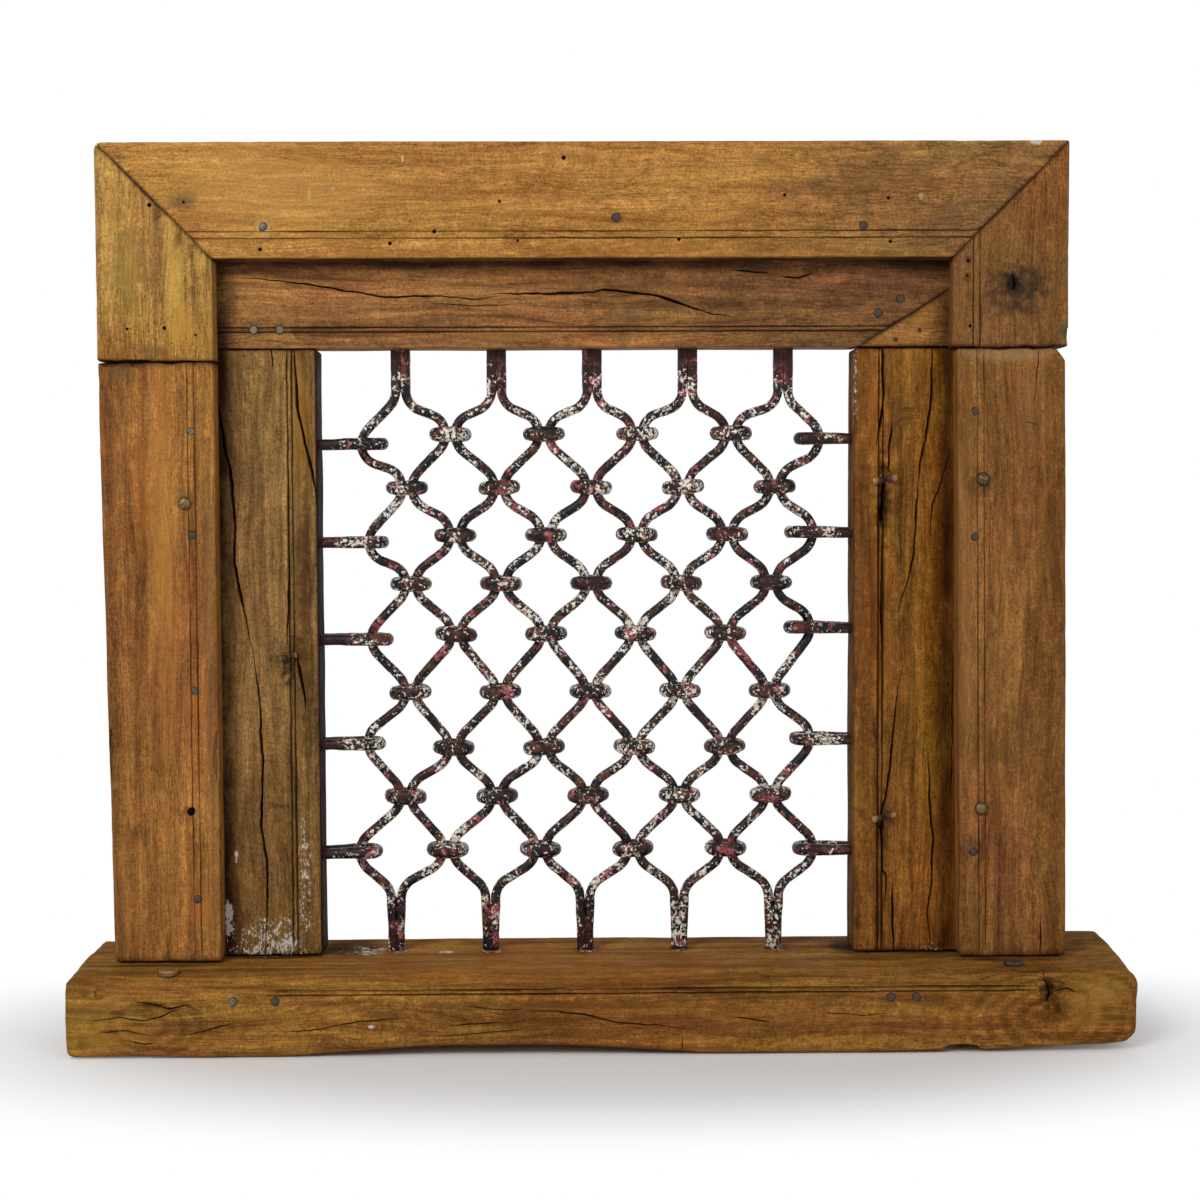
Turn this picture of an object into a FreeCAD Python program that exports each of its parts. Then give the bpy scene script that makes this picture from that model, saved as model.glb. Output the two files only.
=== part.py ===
"""A jali window: a rebated teak frame round a fixed grille of wavy wrought-iron bars.

Millimetres. X runs along the sill, Y from the front to the back, Z up. The origin is on the ground,
under the middle of the sill.
"""
import FreeCAD
import Part
import Sketcher
import math
import os
import re
from collections import namedtuple

Vector = FreeCAD.Vector
ALONG_X = FreeCAD.Rotation(Vector(0, 1, 0), 90)
DOWN = FreeCAD.Rotation(Vector(1, 0, 0), -90)
TOUCH = 1e-3
# A bend uses at most this share of the widest radius that its run leaves room for.
BEND_SHARE = 0.95

SIZES = {
    # Outer frame
    "frame_width": 826,
    "post_width": 99,
    "header_height": 99,
    "clear_height": 601,
    "timber_depth": 93,
    "lip_thickness": 22,
    "lap_width": 42,
    "left_post_taper": 6.5,
    "right_post_width": 93.5,
    "right_post_inset": 3.5,
    "right_post_shift": 4.7,
    "left_joint_drop": 86,
    "right_joint_drop": 76,
    # Sill
    "sill_height": 68,
    "sill_nose": 60,
    "left_horn": 23,
    "right_horn": 52,
    "sill_edge_radius": 9,
    "left_end_radius": 12,
    "right_end_radius": 22,
    "heel_radius": 14,
    "heel_length": 165,
    "heel_rise": 6.5,
    "notch_inset": 133,
    "notch_width": 33,
    "notch_height": 8,
    "arch_inset": 195,
    "arch_length": 336,
    "arch_rise": 8.2,
    # Inner frame
    "left_stile_face": 81,
    "right_stile_face": 78,
    "inner_header_face": 74,
    "inner_thickness": 43,
    "wedge_rise": 48.5,
    # Tenons and fits
    "fit_gap": 0.15,
    "mitre_gap": 0.3,
    "post_tenon_width": 32,
    "post_tenon_inset": 8,
    "post_tenon_thickness": 31,
    "post_tenon_length": 40,
    "mitre_tenon_height": 25,
    "mitre_tenon_inset": 6,
    "mitre_tenon_cover": 13,
    "stile_tenon_width": 62,
    "stile_tenon_inset": 10,
    "stile_tenon_thickness": 14,
    "stile_tenon_drop": 40,
    "left_tenon_rise": 45,
    "right_tenon_rise": 60,
    # Scribed double lines
    "groove_width": 2,
    "groove_depth": 1.6,
    "frame_groove_inset": 17.3,
    "frame_groove_pitch": 5.8,
    "header_groove_inset": 14.2,
    "stile_groove_inset": 18.5,
    "inner_groove_pitch": 3.8,
    "sill_groove_drop": 11.2,
    "sill_groove_pitch": 3.6,
    # Grille bars
    "grille_setback": 24,
    "grille_offset": 3.7,
    "grille_drift": 6.2,
    "grille_head_shift": 1.9,
    "bar_diameter": 8.4,
    "bar_gap": 0.2,
    "bar_bend_radius": 20,
    "bar_socket_depth": 30,
    "top_run": 35,
    "foot_run": 45,
    "tie_reach_ends": 30.5,
    "tie_reach_waist": 42,
    # Collars and ties
    "collar_wall": 10,
    "collar_height": 13.5,
    "tie_diameter": 9.2,
    "tie_socket_depth": 25,
    # Nails, pins and spikes
    "nail_head_diameter": 8,
    "nail_head_height": 1.4,
    "nail_recess": 0.8,
    "nail_diameter": 4.4,
    "nail_length": 54,
    "nail_point_length": 8,
    "nail_inset": 20,
    "dome_diameter": 12.4,
    "dome_height": 4.4,
    "dome_inset": 26.5,
    "nail_hole_diameter": 7.6,
    "nail_hole_inset": 24.5,
    "nail_hole_rise": 131,
    "header_nail_rise": 27.2,
    "middle_nail_rise": 34.5,
    "left_header_nail": 271,
    "middle_header_nail": 28,
    "right_header_nail": 237.5,
    "pin_diameter": 7.4,
    "pin_proud": 0.6,
    "pin_bite": 6,
    "left_pin_near": 27.8,
    "left_pin_far": 50.2,
    "left_pin_rise": 16.2,
    "right_pin_near": 17.7,
    "right_pin_far": 36.8,
    "right_pin_rise": 29.3,
    "right_pin_climb": 12,
    "left_sill_pin_near": 27.2,
    "left_sill_pin_far": 62.3,
    "right_sill_pin_near": 18.2,
    "right_sill_pin_far": 39.3,
    "sill_pin_drop": 19.5,
    "brad_head_diameter": 5,
    "brad_head_height": 0.8,
    "brad_diameter": 2.6,
    "brad_length": 24,
    "brad_point_length": 2.6,
    "near_brad_run": 32.6,
    "near_brad_rise": 6.8,
    "far_brad_run": 53.4,
    "far_brad_rise": 14.5,
    "spike_head_diameter": 17,
    "spike_head_height": 4,
    "spike_diameter": 7,
    "spike_length": 46,
    "spike_point_length": 7,
    "left_spike_inset": 61,
    "left_spike_stand": 38,
    "right_spike_inset": 49.5,
    "right_spike_stand": 27,
    # Split staples of the lost shutter
    "staple_diameter": 4.6,
    "staple_leg_gap": 0.3,
    "staple_leg_reach": 5.5,
    "staple_bend_radius": 4,
    "staple_eye_radius": 8,
    "staple_mouth": 1.2,
    "staple_inset": 23.5,
    "latch_rise": 262,
    "upper_hinge_rise": 413,
    "lower_hinge_rise": 119.5,
}
# How the height of the grille is shared between its ten rows of meshes, from the top row down.
ROW_SHARES = (38, 46.5, 41.5, 42.4, 44.3, 50.7, 49.1, 42.9, 47.5, 44)
# Each tie's height over its row of collars, from the top tie down.
LEFT_TIE_LIFTS = (-9, -6, -4, 4, -2)
RIGHT_TIE_LIFTS = (-5, 1, 4, 6, -1)
# Small nails of the two posts: distances down from the joint with the block and up from the sill.
LEFT_NAIL_DROPS = (59, 147)
LEFT_NAIL_RISES = (235, 55)
RIGHT_NAIL_DROPS = (54, 161)
RIGHT_NAIL_RISES = (92,)
LEFT_DOME_DROP = 120
RIGHT_DOME_DROP = 112
RIGHT_DOME_RISE = 129.5
for stem, sizes in (
    ("row_share", ROW_SHARES),
    ("left_tie_lift", LEFT_TIE_LIFTS),
    ("right_tie_lift", RIGHT_TIE_LIFTS),
    ("left_nail_drop", LEFT_NAIL_DROPS),
    ("left_nail_rise", LEFT_NAIL_RISES),
    ("right_nail_drop", RIGHT_NAIL_DROPS),
    ("right_nail_rise", RIGHT_NAIL_RISES),
    ("left_dome_drop", (LEFT_DOME_DROP,)),
    ("right_dome_drop", (RIGHT_DOME_DROP,)),
    ("right_dome_rise", (RIGHT_DOME_RISE,)),
):
    for place, size in enumerate(sizes, 1):
        SIZES[f"{stem}_{place}"] = size

doc = FreeCAD.newDocument("JaliWindow")
sheet = doc.addObject("Spreadsheet::Sheet", "Sizes")
for row, (alias, size) in enumerate(SIZES.items(), 1):
    sheet.set(f"A{row}", alias)
    sheet.set(f"B{row}", str(size))
    sheet.setAlias(f"B{row}", alias)
doc.recompute()

SIZE_WORD = re.compile(r"[a-z][a-z0-9_]*")
nodes = []


def bound(text):
    """The same sum with each size word pointing at its cell of the sheet."""
    return SIZE_WORD.sub(lambda word: f"Sizes.{word[0]}" if word[0] in SIZES else word[0], text)


def value(text):
    """What a sum of size words comes to."""
    return float(sheet.evalExpression(bound(text)))


# Places along X
FRAME_X = "((left_horn - right_horn) / 2)"
SILL_LEFT = "(-(frame_width + left_horn + right_horn) / 2)"
SILL_RIGHT = "((frame_width + left_horn + right_horn) / 2)"
FRAME_LEFT = f"({FRAME_X} - frame_width / 2)"
FRAME_RIGHT = f"({FRAME_X} + frame_width / 2)"
POST_LEFT = f"({FRAME_LEFT} + post_width)"
POST_RIGHT = f"({FRAME_RIGHT} - post_width)"
LAP_LEFT = f"({POST_LEFT} - lap_width)"
LAP_RIGHT = f"({POST_RIGHT} + lap_width)"
OPEN_LEFT = f"({POST_LEFT} + left_stile_face)"
OPEN_RIGHT = f"({POST_RIGHT} - right_stile_face)"
# Places along Y
SILL_FRONT = "(-(timber_depth + sill_nose) / 2)"
BACK = "((timber_depth + sill_nose) / 2)"
FACE = f"({BACK} - timber_depth)"
INNER_FACE = f"({FACE} + lip_thickness)"
INNER_BACK = f"({INNER_FACE} + inner_thickness)"
GRILLE_Y = f"({INNER_FACE} + grille_setback)"
POST_TENON_FRONT = f"({FACE} + (timber_depth - post_tenon_thickness) / 2)"
STILE_TENON_FRONT = f"({INNER_FACE} + (inner_thickness - stile_tenon_thickness) / 2)"
# Places along Z
HEADER_LOW = "(sill_height + clear_height)"
HEADER_TOP = f"({HEADER_LOW} + header_height)"
LAP_TOP = f"({HEADER_LOW} + lap_width)"
OPEN_TOP = f"({HEADER_LOW} - inner_header_face)"
LEFT_JOINT = f"({HEADER_LOW} - left_joint_drop)"
RIGHT_JOINT = f"({HEADER_LOW} - right_joint_drop)"
# How far the slanted joint of the inner header has risen where the inner frame ends
WEDGE_TOP = f"({OPEN_TOP} + wedge_rise * (right_stile_face + lap_width - fit_gap) / right_stile_face)"

Circle = namedtuple("Circle", "x y radius")
Slot = namedtuple("Slot", "x y half radius")
Bow = namedtuple("Bow", "x0 x1 y rise")
Corner = namedtuple("Corner", "x y run climb radius")


def rect(x0, x1, y0, y1):
    """Corners of an upright rectangle."""
    return [(x0, y0), (x1, y0), (x1, y1), (x0, y1)]


def pin_point(sketch, geometry, point, x, y):
    """Ties one point of a sketch to its place."""
    for kind, text in (("DistanceX", x), ("DistanceY", y)):
        index = sketch.addConstraint(Sketcher.Constraint(kind, -1, 1, geometry, point, value(text)))
        sketch.setExpression(f"Constraints[{index}]", bound(text))


def pin_radius(sketch, geometry, text):
    """Ties the radius of a circle or an arc to its size."""
    index = sketch.addConstraint(Sketcher.Constraint("Radius", geometry, value(text)))
    sketch.setExpression(f"Constraints[{index}]", bound(text))


def spot(x, y):
    """A sketch point worked out from two sums."""
    return Vector(value(x), value(y), 0)


def draw_polygon(sketch, corners):
    """A closed run of straight edges."""
    first = sketch.GeometryCount
    count = len(corners)
    for place, corner in enumerate(corners):
        after = corners[(place + 1) % count]
        sketch.addGeometry(Part.LineSegment(spot(*corner), spot(*after)))
    for place in range(count):
        joint = Sketcher.Constraint("Coincident", first + place, 2, first + (place + 1) % count, 1)
        sketch.addConstraint(joint)
    for place, corner in enumerate(corners):
        pin_point(sketch, first + place, 1, *corner)


def draw_circle(sketch, circle):
    """A round hole."""
    centre = spot(circle.x, circle.y)
    index = sketch.addGeometry(Part.Circle(centre, Vector(0, 0, 1), value(circle.radius)))
    pin_point(sketch, index, 3, circle.x, circle.y)
    pin_radius(sketch, index, circle.radius)


def draw_slot(sketch, slot):
    """A slot along the sketch's X with two round ends."""
    radius = value(slot.radius)
    left_x = f"({slot.x} - ({slot.half}))"
    right_x = f"({slot.x} + ({slot.half}))"
    left = spot(left_x, slot.y)
    right = spot(right_x, slot.y)
    up = Vector(0, radius, 0)
    out = Vector(radius, 0, 0)
    first = sketch.addGeometry(Part.LineSegment(left - up, right - up))
    sketch.addGeometry(Part.Arc(right - up, right + out, right + up))
    sketch.addGeometry(Part.LineSegment(right + up, left + up))
    sketch.addGeometry(Part.Arc(left + up, left - out, left - up))
    for place in range(4):
        after = first + (place + 1) % 4
        sketch.addConstraint(Sketcher.Constraint("Tangent", first + place, 2, after, 1))
    pin_point(sketch, first + 1, 3, right_x, slot.y)
    pin_point(sketch, first + 3, 3, left_x, slot.y)
    sketch.addConstraint(Sketcher.Constraint("Equal", first + 1, first + 3))
    pin_radius(sketch, first + 1, slot.radius)


def draw_arc_region(sketch, corners, middle, radius):
    """Straight edges through the corners, closed from the last to the first by an arc."""
    first = sketch.GeometryCount
    last = first + len(corners) - 1
    for corner, after in zip(corners, corners[1:]):
        sketch.addGeometry(Part.LineSegment(spot(*corner), spot(*after)))
    start, end = spot(*corners[-1]), spot(*corners[0])
    turns_left = (middle - start).cross(end - middle).z > 0
    # A sketch arc always runs to the left, so an arc to the right is drawn from its other end.
    sketch.addGeometry(Part.Arc(start, middle, end) if turns_left else Part.Arc(end, middle, start))
    near, far = (1, 2) if turns_left else (2, 1)
    for index in range(first, last - 1):
        sketch.addConstraint(Sketcher.Constraint("Coincident", index, 2, index + 1, 1))
    sketch.addConstraint(Sketcher.Constraint("Coincident", last - 1, 2, last, near))
    sketch.addConstraint(Sketcher.Constraint("Coincident", last, far, first, 1))
    for place, corner in enumerate(corners[:-1]):
        pin_point(sketch, first + place, 1, *corner)
    pin_point(sketch, last - 1, 2, *corners[-1])
    pin_radius(sketch, last, radius)


def draw_bow(sketch, bow):
    """A shallow arch over a straight chord."""
    chord = f"({bow.x1} - ({bow.x0}))"
    radius = f"(({chord} * {chord} / 4 + {bow.rise} * {bow.rise}) / (2 * {bow.rise}))"
    crown = spot(f"({bow.x0} + {bow.x1}) / 2", f"{bow.y} + {bow.rise}")
    draw_arc_region(sketch, [(bow.x0, bow.y), (bow.x1, bow.y)], crown, radius)


def draw_corner(sketch, corner):
    """What a rounded corner leaves off, run and climb being the signs of its two sides."""
    side = (f"{corner.x} + {corner.run} * {corner.radius}", corner.y)
    tip = (corner.x, corner.y)
    rise = (corner.x, f"{corner.y} + {corner.climb} * {corner.radius}")
    share = f"(1 - sqrt(0.5)) * {corner.radius}"
    middle = spot(f"{corner.x} + {corner.run} * {share}", f"{corner.y} + {corner.climb} * {share}")
    draw_arc_region(sketch, [side, tip, rise], middle, corner.radius)


DRAW = {Circle: draw_circle, Slot: draw_slot, Bow: draw_bow, Corner: draw_corner}


def new_body(label):
    """An empty body that becomes one piece of the window."""
    body = doc.addObject("PartDesign::Body", label)
    body.Label = label
    return body


def new_sketch(body, name, role, start, loops):
    """A sketch on one of the body's own planes, moved along its axis to the start."""
    sketch = body.newObject("Sketcher::SketchObject", name)
    plane = next(part for part in body.Origin.OriginFeatures if part.Role == role)
    sketch.AttachmentSupport = (plane, [""])
    sketch.MapMode = "FlatFace"
    sign = -1 if role == "XZ_Plane" else 1
    sketch.setExpression("AttachmentOffset.Base.z", bound(f"{sign} * ({start})"))
    for loop in loops:
        DRAW.get(type(loop), draw_polygon)(sketch, loop)
    return sketch


def prism(body, name, role, start, length, loops, cut=False):
    """Adds, or cuts, straight walls from the start along the plane's positive axis."""
    sketch = new_sketch(body, f"{name}Sketch", role, start, loops)
    feature = body.newObject("PartDesign::Pocket" if cut else "PartDesign::Pad", name)
    feature.Profile = sketch
    feature.setExpression("Length", bound(length))
    feature.Reversed = (role == "XZ_Plane") != cut
    sketch.Visibility = False
    return feature


def cut_through_front(body, name, start, depth, loops):
    """A cut that goes in from the front."""
    return prism(body, name, "XZ_Plane", start, depth, loops, cut=True)


def grooves(body, name, face, strips):
    """Scribed lines in a front face."""
    cut_through_front(body, name, face, "groove_depth", strips)


def level_strips(x0, x1, first, pitch, away):
    """Two level grooves, the second further along in the direction of the sign."""
    lines = (first, f"({first} {away} {pitch})")
    return [rect(x0, x1, f"{z} - groove_width / 2", f"{z} + groove_width / 2") for z in lines]


def leaning_strips(low_x, low_z, high_x, high_z, first, pitch, away):
    """Two grooves along a side from its foot to its head, inset by the sign."""
    strips = []
    for inset in (first, f"({first} + {pitch})"):
        foot = f"({low_x} {away} {inset})"
        head = f"({high_x} {away} {inset})"
        strips.append([
            (f"{foot} - groove_width / 2", low_z),
            (f"{foot} + groove_width / 2", low_z),
            (f"{head} + groove_width / 2", high_z),
            (f"{head} - groove_width / 2", high_z),
        ])
    return strips


def nail_cuts(body, face, spots):
    """Shank holes and shallow head recesses for nails through the lip of an outer timber."""
    holes = [Circle(x, z, "nail_diameter / 2 + fit_gap") for x, z in spots]
    heads = [Circle(x, z, "nail_head_diameter / 2 + fit_gap") for x, z in spots]
    cut_through_front(body, "NailHoles", face, "lip_thickness", holes)
    cut_through_front(body, "NailHeads", face, "nail_recess", heads)


def blind_nail_holes(body, spots):
    """The rest of the nails' holes, in the inner frame."""
    holes = [Circle(x, z, "nail_diameter / 2 + fit_gap") for x, z in spots]
    cut_through_front(body, "NailHoles", INNER_FACE, "nail_length - lip_thickness + fit_gap", holes)


# Fastener places, as pairs of X and Z on the front
HEADER_NAILS = [
    (f"({FRAME_X} - left_header_nail)", f"({HEADER_LOW} + header_nail_rise)"),
    (f"({FRAME_X} + middle_header_nail)", f"({HEADER_LOW} + middle_nail_rise)"),
    (f"({FRAME_X} + right_header_nail)", f"({HEADER_LOW} + header_nail_rise)"),
]
LEFT_NAIL_X = f"({POST_LEFT} - nail_inset)"
RIGHT_NAIL_X = f"({POST_RIGHT} + nail_inset)"
LEFT_NAILS = [(LEFT_NAIL_X, f"({LEFT_JOINT} - left_nail_drop_{n})") for n in (1, 2)]
LEFT_NAILS += [(LEFT_NAIL_X, f"(sill_height + left_nail_rise_{n})") for n in (1, 2)]
RIGHT_NAILS = [(RIGHT_NAIL_X, f"({RIGHT_JOINT} - right_nail_drop_{n})") for n in (1, 2)]
RIGHT_NAILS += [(RIGHT_NAIL_X, "(sill_height + right_nail_rise_1)")]
LEFT_DOMES = [(f"({POST_LEFT} - dome_inset)", f"({LEFT_JOINT} - left_dome_drop_1)")]
RIGHT_DOME_X = f"({POST_RIGHT} + dome_inset)"
RIGHT_DOMES = [
    (RIGHT_DOME_X, f"({RIGHT_JOINT} - right_dome_drop_1)"),
    (RIGHT_DOME_X, "(sill_height + right_dome_rise_1)"),
]
LEFT_PINS = [
    (f"({OPEN_LEFT} - left_pin_near)", f"({OPEN_TOP} + left_pin_rise)"),
    (f"({OPEN_LEFT} - left_pin_far)", f"({OPEN_TOP} + left_pin_rise)"),
]
RIGHT_PINS = [
    (f"({OPEN_RIGHT} + right_pin_near)", f"({OPEN_TOP} + right_pin_rise)"),
    (f"({OPEN_RIGHT} + right_pin_far)", f"({OPEN_TOP} + right_pin_rise + right_pin_climb)"),
]
SILL_PIN_Z = "(sill_height - sill_pin_drop)"
LEFT_SILL_PINS = [(f"({OPEN_LEFT} - left_sill_pin_{end})", SILL_PIN_Z) for end in ("near", "far")]
RIGHT_SILL_PINS = [(f"({OPEN_RIGHT} + right_sill_pin_{end})", SILL_PIN_Z) for end in ("near", "far")]
BRADS = [
    (f"({OPEN_RIGHT} + {end}_brad_run)", f"({OPEN_TOP} + {end}_brad_rise)") for end in ("near", "far")
]
LATCH = (f"({OPEN_LEFT} - staple_inset)", "(sill_height + latch_rise)")
HINGE_X = f"({OPEN_RIGHT} + staple_inset)"
HINGES = [(HINGE_X, f"(sill_height + {end}_hinge_rise)") for end in ("upper", "lower")]
STAPLE_HALF = "((staple_diameter + staple_leg_gap) / 2)"
HEADER_PIN_LENGTH = "((inner_thickness + stile_tenon_thickness) / 2 + pin_bite)"
SILL_PIN_LENGTH = f"(sill_nose + lip_thickness + {HEADER_PIN_LENGTH})"
# The spikes' places on top of the sill, as pairs of X and Y
SPIKES = [
    (f"({FRAME_LEFT} + left_spike_inset)", f"({FACE} - left_spike_stand)"),
    (f"({FRAME_RIGHT} - right_spike_inset)", f"({FACE} - right_spike_stand)"),
]

# Grille: rows 0 to 10 run from the split of the pairs at the top to where they join again at the foot
ROWS = len(ROW_SHARES)
MIDDLE_ROW = ROWS // 2
PAIRS = 5
PAIR_HALF = "((bar_diameter + bar_gap) / 2)"
OPEN_X = f"(({OPEN_LEFT} + {OPEN_RIGHT}) / 2)"
OPEN_HALF = f"(({OPEN_RIGHT} - {OPEN_LEFT}) / 2)"
GRILLE_RUN = f"({OPEN_TOP} - top_run - sill_height - foot_run)"
ALL_SHARES = "(" + " + ".join(f"row_share_{n}" for n in range(1, ROWS + 1)) + ")"


def row_height(number):
    """Height of a row of collars."""
    shares = " + ".join(["0"] + [f"row_share_{n}" for n in range(1, number + 1)])
    return f"({OPEN_TOP} - top_run - {GRILLE_RUN} * ({shares}) / {ALL_SHARES})"


def pair_pitch(number):
    """Spacing of the pairs in a row: the grille is a little narrower at its waist."""
    bulge = ((number - MIDDLE_ROW) / MIDDLE_ROW) ** 2
    reach = f"(tie_reach_waist + (tie_reach_ends - tie_reach_waist) * {bulge})"
    return f"(({OPEN_HALF} - {reach} + {PAIR_HALF}) * 2 / {PAIRS})"


def pair_x(column, number):
    """Middle of a pair of bars, or of the gap beside it for a half column."""
    u = (number - MIDDLE_ROW) / MIDDLE_ROW
    lean = (u + u * u) / 2
    head_shift = "grille_head_shift" if number == 0 else "0"
    middle = f"({OPEN_X} + grille_offset - grille_drift * {lean} + {head_shift})"
    step = column - (PAIRS - 1) / 2
    return f"({middle} + ({step}) * {pair_pitch(number)})"


def bar_x(column, side, number):
    """Centre of one bar of a pair, which swings half a pitch outwards at every odd row."""
    if number % 2 == 0:
        return f"({pair_x(column, number)} + ({side}) * {PAIR_HALF})"
    return f"({pair_x(column + side / 2, number)} - ({side}) * {PAIR_HALF})"


def tie_height(side, number):
    """Height of the tie that holds an outer bar at an odd row."""
    word = "left" if side < 0 else "right"
    return f"({row_height(number)} + {word}_tie_lift_{(number + 1) // 2})"


ODD_ROWS = range(1, ROWS, 2)
TIE_LEG = "((bar_diameter + tie_diameter) / 2 + fit_gap)"


def pair_sockets(number):
    """Slots that take the ends of the five pairs."""
    radius = "bar_diameter / 2 + fit_gap"
    return [Slot(pair_x(column, number), GRILLE_Y, PAIR_HALF, radius) for column in range(PAIRS)]


def tie_sockets(side):
    """Holes in a stile's edge for the two legs of each tie."""
    radius = "tie_diameter / 2 + fit_gap"
    heights = [tie_height(side, number) for number in ODD_ROWS]
    return [Circle(f"({GRILLE_Y} {way} {TIE_LEG})", z, radius) for z in heights for way in "-+"]


def tenon_plan(side, near, width, front, thickness, grow):
    """Plan of an upright tenon that starts near the opening, grown for its mortise."""
    far = f"({near} + ({side}) * {width})"
    low_x, high_x = (far, near) if side < 0 else (near, far)
    back = f"({front} + {thickness})"
    return rect(f"{low_x} - {grow}", f"{high_x} + {grow}", f"{front} - {grow}", f"{back} + {grow}")


def post_tenon(side, grow):
    """Plan of the tenon of a post, grown for its mortise."""
    near = f"({LAP_LEFT} - post_tenon_inset)" if side < 0 else f"({LAP_RIGHT} + post_tenon_inset)"
    return tenon_plan(side, near, "post_tenon_width", POST_TENON_FRONT, "post_tenon_thickness", grow)


def stile_tenon(side, grow):
    """Plan of the tenon of an inner stile, grown for its mortise."""
    near = f"({OPEN_LEFT} - stile_tenon_inset)" if side < 0 else f"({OPEN_RIGHT} + stile_tenon_inset)"
    return tenon_plan(side, near, "stile_tenon_width", STILE_TENON_FRONT, "stile_tenon_thickness", grow)


def mitre_tenon(side, grow):
    """Front view of the header's end tenon, grown for its mortise."""
    low = f"({LAP_TOP} + mitre_tenon_inset)"
    high = f"({low} + mitre_tenon_height)"
    if side < 0:
        ends = (f"{FRAME_LEFT} + mitre_tenon_cover - {grow}", POST_LEFT)
    else:
        ends = (POST_RIGHT, f"{FRAME_RIGHT} - mitre_tenon_cover + {grow}")
    return rect(*ends, f"{low} - {grow}", f"{high} + {grow}")


def make_sill():
    """The wide beam under everything, worn to two feet below."""
    body = new_body("sill")
    depth = "timber_depth + sill_nose"
    prism(body, "Beam", "XZ_Plane", SILL_FRONT, depth, [rect(SILL_LEFT, SILL_RIGHT, "0", "sill_height")])
    doc.recompute()
    top = value("sill_height")
    front = value(SILL_FRONT)
    edges = enumerate(body.Tip.Shape.Edges, 1)
    middle = Vector(0, front, top)
    nose = [f"Edge{n}" for n, e in edges if e.CenterOfMass.distanceToPoint(middle) < TOUCH]
    rounding = body.newObject("PartDesign::Fillet", "Nose")
    rounding.Base = (body.getObject("Beam"), nose)
    rounding.setExpression("Radius", bound("sill_edge_radius"))
    heel = [
        (f"{SILL_RIGHT} - heel_length", "0"),
        (SILL_RIGHT, "0"),
        (SILL_RIGHT, "heel_rise"),
        (f"{SILL_RIGHT} - heel_radius", "heel_rise"),
    ]
    arch_start = f"({SILL_LEFT} + arch_inset)"
    notch_end = f"({SILL_RIGHT} - notch_inset)"
    under = {
        "Arch": Bow(arch_start, f"({arch_start} + arch_length)", "0", "arch_rise"),
        "Heel": heel,
        "Notch": rect(f"{notch_end} - notch_width", notch_end, "0", "notch_height"),
        "LeftTop": Corner(SILL_LEFT, "sill_height", "1", "-1", "left_end_radius"),
        "LeftFoot": Corner(SILL_LEFT, "0", "1", "1", "left_end_radius"),
        "RightTop": Corner(SILL_RIGHT, "sill_height", "-1", "-1", "right_end_radius"),
        "RightHeel": Corner(SILL_RIGHT, "heel_rise", "-1", "1", "heel_radius"),
    }
    for name, loop in under.items():
        cut_through_front(body, name, SILL_FRONT, depth, [loop])
    mortise = "post_tenon_length + fit_gap"
    posts = [post_tenon(side, "fit_gap") for side in (-1, 1)]
    prism(body, "PostMortises", "XY_Plane", f"sill_height - ({mortise})", mortise, posts, cut=True)
    mortise = "stile_tenon_drop + fit_gap"
    stiles = [stile_tenon(side, "fit_gap") for side in (-1, 1)]
    prism(body, "StileMortises", "XY_Plane", f"sill_height - ({mortise})", mortise, stiles, cut=True)
    socket = "bar_socket_depth + fit_gap"
    prism(body, "BarSockets", "XY_Plane", f"sill_height - ({socket})", socket, pair_sockets(ROWS), cut=True)
    holes = [Circle(x, z, "pin_diameter / 2 + fit_gap") for x, z in LEFT_SILL_PINS + RIGHT_SILL_PINS]
    cut_through_front(body, "PinHoles", SILL_FRONT, f"{SILL_PIN_LENGTH} + fit_gap", holes)
    spikes = [Circle(x, y, "spike_diameter / 2 + fit_gap") for x, y in SPIKES]
    spike_hole = "spike_length + fit_gap"
    prism(body, "SpikeHoles", "XY_Plane", f"sill_height - ({spike_hole})", spike_hole, spikes, cut=True)
    first = "(sill_height - sill_groove_drop)"
    lines = level_strips(SILL_LEFT, SILL_RIGHT, first, "sill_groove_pitch", "-")
    grooves(body, "Grooves", SILL_FRONT, lines)
    nodes.append(body)


def make_header():
    """The top timber of the outer frame, mitred to the corner blocks."""
    body = new_body("header")
    outline = [
        (POST_LEFT, HEADER_LOW),
        (POST_RIGHT, HEADER_LOW),
        (FRAME_RIGHT, HEADER_TOP),
        (FRAME_LEFT, HEADER_TOP),
    ]
    prism(body, "Timber", "XZ_Plane", FACE, "timber_depth", [outline])
    rebate = rect(LAP_LEFT, LAP_RIGHT, HEADER_LOW, LAP_TOP)
    cut_through_front(body, "Rebate", INNER_FACE, "timber_depth - lip_thickness", [rebate])
    tenons = [mitre_tenon(side, "0") for side in (-1, 1)]
    prism(body, "Tenons", "XZ_Plane", POST_TENON_FRONT, "post_tenon_thickness", tenons)
    first = f"({HEADER_LOW} + frame_groove_inset)"
    lines = level_strips(FRAME_LEFT, FRAME_RIGHT, first, "frame_groove_pitch", "+")
    grooves(body, "Grooves", FACE, lines)
    nail_cuts(body, FACE, HEADER_NAILS)
    nodes.append(body)


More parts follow.
